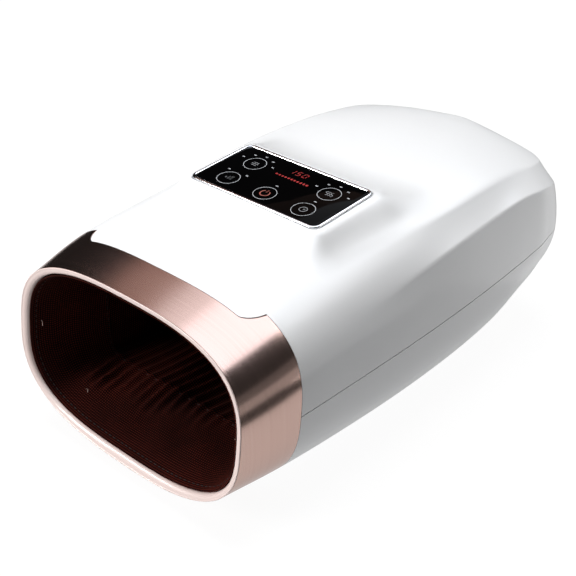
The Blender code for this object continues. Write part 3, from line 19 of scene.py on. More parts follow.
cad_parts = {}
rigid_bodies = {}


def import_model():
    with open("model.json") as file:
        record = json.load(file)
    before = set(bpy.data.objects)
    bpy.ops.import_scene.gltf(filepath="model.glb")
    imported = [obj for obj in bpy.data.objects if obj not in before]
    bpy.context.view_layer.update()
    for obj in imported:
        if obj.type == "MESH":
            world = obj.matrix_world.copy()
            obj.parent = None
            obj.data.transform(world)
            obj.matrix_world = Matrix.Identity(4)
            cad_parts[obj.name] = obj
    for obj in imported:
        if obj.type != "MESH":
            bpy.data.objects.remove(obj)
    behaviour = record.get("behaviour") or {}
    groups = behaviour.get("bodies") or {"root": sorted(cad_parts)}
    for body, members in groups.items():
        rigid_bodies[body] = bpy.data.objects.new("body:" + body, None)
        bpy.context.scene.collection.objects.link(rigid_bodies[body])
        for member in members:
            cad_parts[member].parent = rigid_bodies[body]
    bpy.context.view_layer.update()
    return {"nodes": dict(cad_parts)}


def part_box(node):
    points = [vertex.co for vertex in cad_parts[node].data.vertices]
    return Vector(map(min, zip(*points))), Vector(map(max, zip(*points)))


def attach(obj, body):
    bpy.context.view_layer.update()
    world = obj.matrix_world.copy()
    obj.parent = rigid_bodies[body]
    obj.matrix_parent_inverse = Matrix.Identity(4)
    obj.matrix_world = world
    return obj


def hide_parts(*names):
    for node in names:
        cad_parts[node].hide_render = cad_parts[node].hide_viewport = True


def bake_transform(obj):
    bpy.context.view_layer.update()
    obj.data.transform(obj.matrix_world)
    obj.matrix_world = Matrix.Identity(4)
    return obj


for leftover in list(bpy.data.objects):
    bpy.data.objects.remove(leftover)
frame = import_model()

log = logging.getLogger("hand_massager")

Spot = tuple[float, float]
Point = tuple[float, float, float]
Colour = tuple[float, float, float]
Row = list[Point]
Piece = bpy.types.Object
Socket = bpy.types.NodeSocket
Material = bpy.types.Material

BODY_MIDDLE = 0.1439
AXIS_HEIGHT = 0.054
SEAT = Matrix.Translation((0, -BODY_MIDDLE, AXIS_HEIGHT))
UPRIGHT = Matrix.Rotation(pi / 2, 4, "X")
GAP = 0.0003
SAME_PLACE = 2e-6


# Finishes


class Slot(Enum):
    """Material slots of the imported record."""

    BAG = "airbag_black_film"
    BATTERY = "battery_blue_sleeve"
    BLACK = "black_plastic"
    BOARD = "board_green"
    CHROME = "frame_chrome"
    HEATER = "heater_amber_film"
    HOSE = "hose_silicone"
    FABRIC = "liner_dark_fabric"
    LIP = "lip_pale_pink"
    PLATE = "plate_ivory_plastic"
    ROSE = "ring_rose_metal"
    RUBBER = "rubber_dark"
    SHELL = "shell_white"
    STEEL = "steel_bright"
    GLASS = "touch_glass_black"
    TRAY = "tray_grey_plastic"


class Axis(Enum):
    """Directions a stripe pattern can run across."""

    X = "X"
    Y = "Y"
    SLANT = "DIAGONAL"


class Shading:
    """One material's node tree, ending in a Principled shader."""

    def __init__(self, name: str, colour: Colour, roughness: float, metallic: float = 0.0) -> None:
        """Starts the material from its plain values."""
        self.material = bpy.data.materials.new(name)
        self.material.use_nodes = True
        self.material.diffuse_color = (*colour, 1.0)
        self.tree = self.material.node_tree
        self.shader = self.tree.nodes["Principled BSDF"]
        self.fix("Base Color", (*colour, 1.0))
        self.fix("Roughness", roughness)
        self.fix("Metallic", metallic)

    def fix(self, socket: str, value: object) -> None:
        """Sets a shader socket to one value."""
        self.shader.inputs[socket].default_value = value

    def feed(self, socket: str, source: Socket) -> None:
        """Links a pattern into a shader socket."""
        self.tree.links.new(source, self.shader.inputs[socket])

    def add(self, kind: str, fed: dict[object, object], output: object = 0, **settings: object) -> Socket:
        """Adds a node.

        Args:
            kind: What node it is.
            fed: For each of its input sockets a value, or the socket that is linked into it.
            output: Which output is wanted.
            **settings: Its properties.

        Returns:
            The output socket.
        """
        made = self.tree.nodes.new(kind)
        for name, value in settings.items():
            setattr(made, name, value)
        for socket, value in fed.items():
            if isinstance(value, Socket):
                self.tree.links.new(value, made.inputs[socket])
            else:
                made.inputs[socket].default_value = value
        return made.outputs[output]

    def space(self, scale: Point = (1, 1, 1), cut: str = "") -> Socket:
        """Coordinates for a pattern, on the object or on the UV map named cut, which follows the cloth."""
        if cut:
            source = self.add("ShaderNodeUVMap", {}, uv_map=cut)
        else:
            source = self.add("ShaderNodeTexCoord", {}, "Object")
        return self.add("ShaderNodeMapping", {"Vector": source, "Scale": scale})

    def noise(self, space: Socket, scale: float, detail: float) -> Socket:
        """Cloudy noise, from 0 to 1."""
        return self.add("ShaderNodeTexNoise", {"Vector": space, "Scale": scale, "Detail": detail})

    def cells(self, space: Socket, scale: float) -> Socket:
        """Distance to the nearest of scattered points."""
        return self.add("ShaderNodeTexVoronoi", {"Vector": space, "Scale": scale}, "Distance")

    def stripes(self, space: Socket, pitch: float, axis: Axis, sway: float = 0.0) -> Socket:
        """Even stripes, from 0 to 1.

        Args:
            space: Coordinates.
            pitch: Distance from one stripe to the next, in metres.
            axis: Direction across the stripes.
            sway: How far noise bends them.

        Returns:
            The stripes' socket.
        """
        fed = {"Vector": space, "Scale": pi / (10 * pitch), "Distortion": sway, "Detail Scale": 0.6}
        return self.add("ShaderNodeTexWave", fed, 1, wave_type="BANDS", bands_direction=axis.value)

    def spread(self, source: Socket, low: float, high: float, start: float = 0.0, end: float = 1.0) -> Socket:
        """Maps start to low and end to high."""
        fed = {"Value": source, "From Min": start, "From Max": end, "To Min": low, "To Max": high}
        return self.add("ShaderNodeMapRange", fed)

    def mixed(self, share: Socket, first: object, second: object) -> Socket:
        """Mixes two colours, or colour sockets, by a share."""
        first, second = ((*value, 1.0) if isinstance(value, tuple) else value for value in (first, second))
        return self.add("ShaderNodeMix", {0: share, 6: first, 7: second}, 2, data_type="RGBA")

    def sum(self, operation: str, first: Socket, second: object) -> Socket:
        """Works out one sum on two sockets, or on a socket and a number."""
        return self.add("ShaderNodeMath", {0: first, 1: second}, operation=operation)

    def relief(self, height: Socket, strength: float, depth: float) -> None:
        """Raises the surface by a height pattern."""
        fed = {"Height": height, "Strength": strength, "Distance": depth}
        self.feed("Normal", self.add("ShaderNodeBump", fed))


@dataclass(frozen=True)
class Finish:
    """What a piece is made of: a colour that drifts to a second shade, and a pattern of its own kind."""

    name: str
    colour: Colour
    shade: Colour
    roughness: float
    metallic: ClassVar[float] = 0.0

    def make(self) -> Material:
        """Builds the material."""
        shading = Shading(self.name, self.colour, self.roughness, self.metallic)
        self.pattern(shading)
        return shading.material

    def pattern(self, shading: Shading) -> None:
        """Lays the pattern over the plain values."""
        raise NotImplementedError


@dataclass(frozen=True)
class Moulded(Finish):
    """Moulded plastic or rubber: a slow drift of tint, a fine grain and an uneven gloss."""

    grain: float = 900.0
    depth: float = 0.00003
    coat: float = 0.0
    coat_roughness: float = 0.15
    subsurface: float = 0.0

    def pattern(self, shading: Shading) -> None:
        """Lays the pattern."""
        shading.fix("Coat Weight", self.coat)
        shading.fix("Coat Roughness", self.coat_roughness)
        if self.subsurface:
            shading.fix("Subsurface Weight", self.subsurface)
            shading.fix("Subsurface Scale", 0.002)
        space = shading.space()
        shading.feed("Base Color", shading.mixed(shading.noise(space, 16, 2), self.colour, self.shade))
        fine = shading.noise(space, self.grain, 4)
        broad = shading.noise(space, 45, 3)
        gloss = shading.sum("MULTIPLY_ADD", fine, broad)
        shading.feed("Roughness", shading.spread(gloss, self.roughness * 0.82, self.roughness * 1.2))
        shading.relief(fine, 0.2, self.depth)


@dataclass(frozen=True)
class Brushed(Finish):
    """Plated or anodised metal with fine brush lines."""

    along: Point
    depth: float
    strength: float = 0.12
    metallic: ClassVar[float] = 1.0

    def pattern(self, shading: Shading) -> None:
        """Lays the pattern."""
        lines = shading.noise(shading.space(self.along), 1.0, 4)
        drift = shading.noise(shading.space(), 22, 2)
        tint = shading.mixed(lines, self.colour, self.shade)
        shading.feed("Base Color", shading.mixed(shading.spread(drift, 0.0, 0.3), tint, self.shade))
        shading.feed("Roughness", shading.spread(lines, self.roughness * 0.75, self.roughness * 1.3))
        shading.relief(lines, self.strength, self.depth)


@dataclass(frozen=True)
class PanelGlass(Finish):
    """Black glass with a faint film of finger marks."""

    roughness: float = 0.05

    def pattern(self, shading: Shading) -> None:
        """Lays the pattern."""
        shading.fix("Specular IOR Level", 0.04)
        space = shading.space()
        marks = shading.noise(shading.space((1.0, 2.2, 1.0)), 90, 5)
        shading.feed("Roughness", shading.spread(marks, 0.03, 0.08, 0.42, 0.72))
        shading.feed("Base Color", shading.mixed(shading.noise(space, 35, 2), self.colour, self.shade))


@dataclass(frozen=True)
class Glow(Finish):
    """Printed ink or a lit lamp, a little uneven as print is."""

    roughness: float = 0.45
    strength: float = 0.0

    def pattern(self, shading: Shading) -> None:
        """Lays the pattern."""
        patches = shading.noise(shading.space(), 1400, 2)
        tint = shading.mixed(patches, self.colour, self.shade)
        shading.feed("Base Color", tint)
        shading.feed("Emission Color", tint)
        shading.fix("Emission Strength", self.strength)
        shading.feed("Roughness", shading.spread(patches, 0.38, 0.55))


@dataclass(frozen=True)
class Woven(Finish):
    """Fine stretch mesh: two sets of threads over each other, with fuzz and uneven dye."""

    roughness: float = 0.72
    thread: float = 0.00125
    sheen: float = 0.03

    def pattern(self, shading: Shading) -> None:
        """Lays the pattern."""
        shading.fix("Sheen Weight", self.sheen)
        shading.fix("Sheen Roughness", 0.45)
        shading.fix("Sheen Tint", (0.55, 0.25, 0.18, 1.0))
        shading.fix("Specular IOR Level", 0.04)
        space = shading.space(cut="cut")
        warp = shading.stripes(space, self.thread, Axis.X, 0.25)
        weft = shading.stripes(space, self.thread, Axis.Y, 0.25)
        weave = shading.sum("MULTIPLY", warp, weft)
        dye = shading.noise(shading.space(), 30, 3)
        fuzz = shading.noise(shading.space(), 2600, 2)
        thread = shading.mixed(shading.spread(weave, 0.0, 1.0, 0.1, 0.75), self.shade, self.colour)
        worn = shading.spread(dye, 0.0, 0.65, 0.35, 0.7)
        shading.feed("Base Color", shading.mixed(worn, thread, self.shade))
        shading.feed("Roughness", shading.spread(weave, 0.9, 0.55))
        shading.relief(shading.sum("MULTIPLY_ADD", fuzz, weave), 0.55, 0.00022)


@dataclass(frozen=True)
class Film(Finish):
    """Thin glossy film with soft crinkles."""

    roughness: float = 0.28

    def pattern(self, shading: Shading) -> None:
        """Lays the pattern."""
        space = shading.space((1.0, 0.6, 1.0))
        crinkle = shading.noise(space, 140, 4)
        shading.feed("Base Color", shading.mixed(crinkle, self.colour, self.shade))
        shading.feed("Roughness", shading.spread(crinkle, self.roughness * 0.7, self.roughness * 1.5))
        shading.relief(crinkle, 0.5, 0.0006)


@dataclass(frozen=True)
class HeaterFilm(Finish):
    """Amber film with copper tracks laid in it."""

    roughness: float = 0.35
    copper: Colour = (0.72, 0.32, 0.16)

    def pattern(self, shading: Shading) -> None:
        """Lays the pattern."""
        space = shading.space()
        track = shading.spread(shading.stripes(space, 0.0055, Axis.X), 0.0, 1.0, 0.62, 0.7)
        film = shading.mixed(shading.noise(space, 60, 3), self.colour, self.shade)
        shading.feed("Base Color", shading.mixed(track, film, self.copper))
        shading.feed("Metallic", track)
        shading.feed("Roughness", shading.spread(track, 0.38, 0.24))
        shading.relief(track, 0.3, 0.00005)


@dataclass(frozen=True)
class Circuit(Finish):
    """Green solder mask over copper tracks, with tinned pads."""

    roughness: float = 0.4
    track: Colour = (0.02, 0.26, 0.1)
    tin: Colour = (0.66, 0.64, 0.6)

    def pattern(self, shading: Shading) -> None:
        """Lays the pattern."""
        space = shading.space()
        slant = shading.spread(shading.stripes(space, 0.0026, Axis.SLANT, 1.5), 0.0, 1.0, 0.7, 0.78)
        mask = shading.mixed(slant, self.shade, self.track)
        pads = shading.spread(shading.cells(space, 240), 1.0, 0.0, 0.16, 0.2)
        shading.feed("Base Color", shading.mixed(pads, mask, self.tin))
        shading.feed("Metallic", pads)
        shading.feed("Roughness", shading.spread(pads, 0.42, 0.25))
        shading.relief(slant, 0.25, 0.00005)


SLOT_FINISHES = {
    Slot.SHELL: Moulded("shell_white", (0.86, 0.866, 0.874), (0.825, 0.832, 0.845), 0.36, 700, 1e-5, 0.25,
                        0.12),
    Slot.ROSE: Brushed("ring_rose_metal", (0.68, 0.485, 0.425), (0.62, 0.42, 0.36), 0.2, (8, 1500, 8), 2e-6,
                       0.02),
    Slot.LIP: Moulded("lip_pale_pink", (0.8, 0.655, 0.615), (0.75, 0.6, 0.56), 0.34, 800, 1e-5, 0.3, 0.1),
    Slot.CHROME: Brushed("frame_chrome", (0.9, 0.9, 0.91), (0.8, 0.8, 0.82), 0.09, (90, 900, 90), 3e-6, 0.05),
    Slot.GLASS: PanelGlass("touch_glass_black", (0.0008, 0.0008, 0.0009), (0.0015, 0.0013, 0.0015)),
    Slot.FABRIC: Woven("liner_dark_fabric", (0.115, 0.016, 0.009), (0.006, 0.0012, 0.0008)),
    Slot.BAG: Film("airbag_black_film", (0.02, 0.02, 0.023), (0.035, 0.034, 0.04)),
    Slot.BATTERY: Film("battery_blue_sleeve", (0.03, 0.11, 0.42), (0.02, 0.075, 0.3), 0.3),
    Slot.BLACK: Moulded("black_plastic", (0.018, 0.018, 0.019), (0.03, 0.03, 0.031), 0.5, 1200, 0.00006),
    Slot.BOARD: Circuit("board_green", (0.01, 0.16, 0.06), (0.008, 0.12, 0.045)),
    Slot.HEATER: HeaterFilm("heater_amber_film", (0.55, 0.24, 0.04), (0.36, 0.13, 0.02)),
    Slot.HOSE: Moulded("hose_silicone", (0.72, 0.72, 0.7), (0.6, 0.6, 0.58), 0.4, 500, 3e-5, 0.0, 0.1, 0.3),
    Slot.PLATE: Moulded("plate_ivory_plastic", (0.78, 0.74, 0.64), (0.7, 0.66, 0.57), 0.45, 900, 0.00004),
    Slot.RUBBER: Moulded("rubber_dark", (0.022, 0.021, 0.021), (0.035, 0.034, 0.034), 0.78, 1500, 0.00012),
    Slot.STEEL: Brushed("steel_bright", (0.62, 0.61, 0.6), (0.5, 0.49, 0.48), 0.28, (900, 60, 60), 1e-5),
    Slot.TRAY: Moulded("tray_grey_plastic", (0.2, 0.205, 0.21), (0.16, 0.165, 0.17), 0.55, 1000, 0.00006),
}
PRINT_INK = Glow("panel_print_white", (0.5, 0.52, 0.54), (0.22, 0.23, 0.25), strength=0.08)
PRINT_DIM = Glow("panel_print_dim", (0.24, 0.25, 0.26), (0.12, 0.12, 0.13), strength=0.02)
POWER_MARK = Glow("panel_print_power", (0.34, 0.09, 0.06), (0.2, 0.05, 0.04), strength=0.25)
LAMP_RED = Glow("panel_lamp_red", (0.42, 0.008, 0.006), (0.12, 0.003, 0.003), strength=0.25)
THREAD = Moulded("liner_thread", (0.012, 0.003, 0.002), (0.008, 0.002, 0.0015), 0.7, 3000, 0.0001)
THREAD_END = Moulded("liner_thread_end", (0.5, 0.38, 0.34), (0.3, 0.2, 0.17), 0.65, 2500, 0.0001)


# Mesh craft


def linked(name: str, data: bpy.types.ID) -> Piece:
    """Puts a mesh, a light or a camera into the scene."""
    made = bpy.data.objects.new(name, data)
    bpy.context.scene.collection.objects.link(made)
    return made


def mesh_object(name: str, points: Iterable[Sequence[float]], faces: Iterable[Sequence[int]]) -> Piece:
    """Makes a linked mesh object from points and faces."""
    mesh = bpy.data.meshes.new(name)
    mesh.from_pydata([tuple(point) for point in points], [], [tuple(face) for face in faces])
    return linked(name, mesh)


def from_bmesh(bm: bmesh.types.BMesh, name: str) -> Piece:
    """Turns a bmesh into a linked object and frees it."""
    mesh = bpy.data.meshes.new(name)
    bm.to_mesh(mesh)
    bm.free()
    return linked(name, mesh)


def shade(made: Piece, sharp_degrees: float = 40.0) -> Piece:
    """Smooths the faces but keeps those edges sharp that turn by more than an angle."""
    bm = bmesh.new()
    bm.from_mesh(made.data)
    limit = sharp_degrees * pi / 180
    for face in bm.faces:
        face.smooth = True
    for edge in bm.edges:
        edge.smooth = len(edge.link_faces) == 2 and edge.calc_face_angle(0.0) < limit
    bm.to_mesh(made.data)
    bm.free()
    return made


def baked(made: Piece) -> Piece:
    """Applies an object's modifiers and clears them."""
    bpy.context.view_layer.update()
    mesh = bpy.data.meshes.new_from_object(made.evaluated_get(bpy.context.evaluated_depsgraph_get()))
    made.modifiers.clear()
    made.data = mesh
    mesh.name = made.name
    return made


def walled(made: Piece, wall: float) -> Piece:
    """Gives an open surface a wall behind it."""
    step = made.modifiers.new("wall", "SOLIDIFY")
    step.thickness = wall
    step.offset = -1.0
    step.use_even_offset = True
    return baked(made)


def cut(made: Piece, *cutters: Piece) -> None:
    """Takes cutters away from an object, then removes them."""
    for cutter in cutters:
        step = made.modifiers.new("cut", "BOOLEAN")
        step.operation = "DIFFERENCE"
        step.solver = "EXACT"
        step.object = cutter
        baked(made)
        bpy.data.objects.remove(cutter)


def quads(rows: int, columns: int, around: bool, last_joins_first: bool = False) -> list[tuple[int, ...]]:
    """Four-sided faces of a grid of points.

    Args:
        rows: Rows of points.
        columns: Points in each row.
        around: Whether each row closes on itself.
        last_joins_first: Whether the last row joins the first.

    Returns:
        The faces, row by row.
    """
    faces = []
    for row in range(rows if last_joins_first else rows - 1):
        here, there = row * columns, (row + 1) % rows * columns
        for column in range(columns if around else columns - 1):
            after = (column + 1) % columns
            faces.append((here + column, here + after, there + after, there + column))
    return faces


def loft(name: str, loops: Sequence[Row], capped: bool = True) -> Piece:
    """Skins closed loops of equal length into a closed shape that faces out.

    Args:
        name: The object's name.
        loops: Loops of points, in order.
        capped: Whether flat caps close the ends; if not, the last loop joins the first.

    Returns:
        The object.
    """
    rows, count = len(loops), len(loops[0])
    faces = quads(rows, count, True, not capped)
    if capped:
        faces += [tuple(reversed(range(count))), tuple(range((rows - 1) * count, rows * count))]
    return outward(mesh_object(name, [point for loop in loops for point in loop], faces))


def outward(made: Piece) -> Piece:
    """Merges doubles and points a closed shape's faces out."""
    bm = bmesh.new()
    bm.from_mesh(made.data)
    bmesh.ops.remove_doubles(bm, verts=bm.verts, dist=1e-7)
    bmesh.ops.recalc_face_normals(bm, faces=bm.faces)
    bm.to_mesh(made.data)
    bm.free()
    return made


def turned(name: str, profile: Sequence[Spot], place: Point, steps: int = 40) -> Piece:
    """Turns a profile of (radius, height) round an upright axis at a place."""
    bm = bmesh.new()
    x, y, z = place
    rings = []
    for radius, height in profile:
        if radius == 0:
            rings.append([bm.verts.new((x, y, z + height))] * steps)
        else:
            rings.append([bm.verts.new((x + radius * cos(turn), y + radius * sin(turn), z + height))
                          for turn in (2 * pi * step / steps for step in range(steps))])
    closed = profile[0][0] > 0
    for near, far in zip(rings, rings[1:] + (rings[:1] if closed else [])):
        for step in range(steps):
            after = (step + 1) % steps
            corners = list(dict.fromkeys((near[step], near[after], far[after], far[step])))
            if len(corners) > 2:
                bm.faces.new(corners)
    bmesh.ops.recalc_face_normals(bm, faces=bm.faces)
    return from_bmesh(bm, name)


def swept(name: str, route: Sequence[Point], radius: float, sides: int = 14) -> Piece:
    """A round bar along a route, with closed ends."""
    places = [Vector(point) for point in route]
    loops, across = [], None
    for index, place in enumerate(places):
        ahead = places[min(index + 1, len(places) - 1)] - places[max(index - 1, 0)]
        ahead.normalize()
        if across is None:
            across = ahead.orthogonal().normalized()
        across = (across - ahead * across.dot(ahead)).normalized()
        up = ahead.cross(across)
        loops.append([tuple(place + radius * (cos(turn) * across + sin(turn) * up))
                      for turn in (2 * pi * side / sides for side in range(sides))])
    return loft(name, loops)


def rounded_rectangle(width: float, depth: float, corner: float, steps: int = 10) -> list[Spot]:
    """Points round a rectangle with rounded corners, against the clock."""
    points = []
    for number, (side_x, side_y) in enumerate(((1, 1), (-1, 1), (-1, -1), (1, -1))):
        middle = (side_x * (width / 2 - corner), side_y * (depth / 2 - corner))
        for step in range(steps + 1):
            angle = pi / 2 * (number + step / steps)
            points.append((middle[0] + corner * cos(angle), middle[1] + corner * sin(angle)))
    return points


def rounded_prism(name: str, width: float, depth: float, corner: float, low: float, high: float,
                  edge: float = 0.0, steps: int = 10) -> Piece:
    """An upright plate with rounded corners and softened edges at both faces."""
    levels = [(0.0, low), (0.0, high)]
    if edge:
        levels = [(edge, low), (edge * 0.3, low + edge * 0.3), (0.0, low + edge), (0.0, high - edge),
                  (edge * 0.3, high - edge * 0.3), (edge, high)]
    loops = [[(x, y, z) for x, y in rounded_rectangle(width - 2 * inset, depth - 2 * inset,
                                                      max(corner - inset, edge * 0.2 + 0.00002), steps)]
             for inset, z in levels]
    return shade(loft(name, loops), 35)


def joined(name: str, parts: Sequence[Piece]) -> Piece:
    """Joins meshes into one object and removes the parts."""
    bm = bmesh.new()
    for part in parts:
        bm.from_mesh(part.data)
    for part in parts:
        bpy.data.objects.remove(part)
    return from_bmesh(bm, name)


def smooth_step(value: float) -> float:
    """An even rise from 0 to 1."""
    value = min(max(value, 0.0), 1.0)
    return value * value * (3 - 2 * value)


def mix(start: Sequence[float], end: Sequence[float], share: float) -> tuple[float, ...]:
    """A point part of the way from start to end."""
    return tuple(a + (b - a) * share for a, b in zip(start, end))


def steps_between(start: float, end: float, step: float) -> list[float]:
    """Even values from start up to, not including, end."""
    count = max(1, round((end - start) / step))
    return [start + (end - start) * index / count for index in range(count)]


def divided(*parts: float) -> list[float]:
    """Values along a line: its start, then a step and an end for every stretch. The last end is left out."""
    return [value for start, step, end in zip(parts[0::2], parts[1::2], parts[2::2])
            for value in steps_between(start, end, step)]


def crossing(low: float, high: float, before: Callable[[float], bool]) -> float:
    """Where a test that holds at low stops to hold on the way to high, by halving thirty times."""
    for _ in range(30):
        middle = (low + high) / 2
        low, high = (middle, high) if before(middle) else (low, middle)
    return (low + high) / 2


# Repeated details


class Bead(Enum):
    """Shapes that a row of repeated details can have."""

    BAR = "bar"
    STITCH = "stitch"


@dataclass
class Repeater:
    """Sets one small solid on every point of a row, by Geometry Nodes."""

    name: str
    bead: Bead
    length: float
    width: float
    height: float

    def tree(self, material: Material) -> bpy.types.NodeTree:
        """Builds the node tree."""
        made = bpy.data.node_groups.new(self.name + "_row", "GeometryNodeTree")
        face, nodes, links = made.interface, made.nodes, made.links
        face.new_socket("Geometry", in_out="INPUT", socket_type="NodeSocketGeometry")
        face.new_socket("Geometry", in_out="OUTPUT", socket_type="NodeSocketGeometry")
        entry, leave = nodes.new("NodeGroupInput"), nodes.new("NodeGroupOutput")
        size, spread = nodes.new("ShaderNodeCombineXYZ"), nodes.new("GeometryNodeInstanceOnPoints")
        for socket, value in zip(size.inputs, (self.length, self.width, self.height)):
            socket.default_value = value
        if self.bead is Bead.BAR:
            solid = nodes.new("GeometryNodeMeshCube")
            links.new(size.outputs[0], solid.inputs["Size"])
        else:
            solid = nodes.new("GeometryNodeMeshIcoSphere")
            solid.inputs["Radius"].default_value = 0.5
            solid.inputs["Subdivisions"].default_value = 2
            links.new(size.outputs[0], spread.inputs["Scale"])
        turn = nodes.new("GeometryNodeInputNamedAttribute")
        turn.data_type = "FLOAT_VECTOR"
        turn.inputs["Name"].default_value = "turn"
        real, coat = nodes.new("GeometryNodeRealizeInstances"), nodes.new("GeometryNodeSetMaterial")
        coat.inputs["Material"].default_value = material
        for source, target in ((entry.outputs["Geometry"], spread.inputs["Points"]),
                               (solid.outputs["Mesh"], spread.inputs["Instance"]),
                               (turn.outputs["Attribute"], spread.inputs["Rotation"]),
                               (spread.outputs["Instances"], real.inputs["Geometry"]),
                               (real.outputs["Geometry"], coat.inputs["Geometry"]),
                               (coat.outputs["Geometry"], leave.inputs[0])):
            links.new(source, target)
        return made

    def lay(self, places: Sequence[Matrix], material: Material) -> Piece:
        """Lays the row as one plain mesh, a detail at each place and turned as the place is."""
        made = mesh_object(self.name, [place.translation for place in places], [])
        turns = made.data.attributes.new("turn", "FLOAT_VECTOR", "POINT")
        turns.data.foreach_set("vector", [angle for place in places for angle in place.to_euler()])
        made.modifiers.new("row", "NODES").node_group = self.tree(material)
        baked(made)
        return shade(made, 30 if self.bead is Bead.BAR else 80)


# Bench


def node_box(node: str) -> list[Vector]:
    """The low and high corner of a CAD node's box, in the mouth frame."""
    return [SEAT.inverted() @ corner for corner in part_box(node)]


class Bench:
    """Where finished pieces get their finish, are seated on their bodies and are reported."""

    def __init__(self) -> None:
        """Mixes every finish once."""
        self.paints = {slot: finish.make() for slot, finish in SLOT_FINISHES.items()}
        self.extra: dict[str, Material] = {}

    def paint(self, finish: Finish) -> Material:
        """A finish that has no slot of its own, mixed once."""
        if finish.name not in self.extra:
            self.extra[finish.name] = finish.make()
        return self.extra[finish.name]

    def dress(self, piece: Piece, slot: Slot, replaces: Sequence[str], finish: Optional[Finish],
              place: Matrix) -> None:
        """Gives a piece its finish and moves its mesh into the row frame.

        Args:
            piece: The finished mesh.
            slot: The record's slot that it takes its finish from.
            replaces: CAD nodes that it stands for.
            finish: A finish of its own, where it differs from the slot's.
            place: From the frame it was drawn in to the row frame.
        """
        piece.data.materials.clear()
        piece.data.materials.append(self.paint(finish) if finish else self.paints[slot])
        piece.data.transform(place)
        piece.data.update()
        if replaces:
            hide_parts(*replaces)

    def seat(self, piece: Piece, slot: Slot, replaces: Sequence[str] = (), finish: Optional[Finish] = None,
             place: Matrix = SEAT) -> None:
        """Dresses a piece, as dress does, and fixes it to the casing."""
        self.dress(piece, slot, replaces, finish, place)
        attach(piece, "casing")
        log.info("%s rides on the casing: %d faces", piece.name, len(piece.data.polygons))

    def bend(self, piece: Piece, slot: Slot, ends: tuple[str, str], start: Point, end: Point,
             replaces: Sequence[str]) -> None:
        """Dresses a soft piece that spans two bodies, bakes its place into its mesh and names both bodies in
        the log; it is fixed to neither.

        Args:
            piece: The finished mesh.
            slot: The record's slot.
            ends: The two bodies.
            start: Not used; a point in the mouth frame.
            end: Not used.
            replaces: CAD nodes that it stands for.
        """
        self.dress(piece, slot, replaces, None, SEAT)
        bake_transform(piece)
        log.info("%s bends from %s to %s: %d faces", piece.name, *ends, len(piece.data.polygons))

    def repaint(self, nodes: dict[str, Piece]) -> None:
        """Gives the CAD nodes that stay in view their full finishes."""
        named = {slot.value: slot for slot in Slot}
        for name, node in sorted(nodes.items()):
            for holder in node.material_slots:
                label = holder.material.name.split(".")[0] if holder.material else ""
                if label in named:
                    holder.material = self.paints[named[label]]
                    log.info("%s is finished in %s", name, label)
                else:
                    log.warning("%s keeps %s", name, label)


# Body form


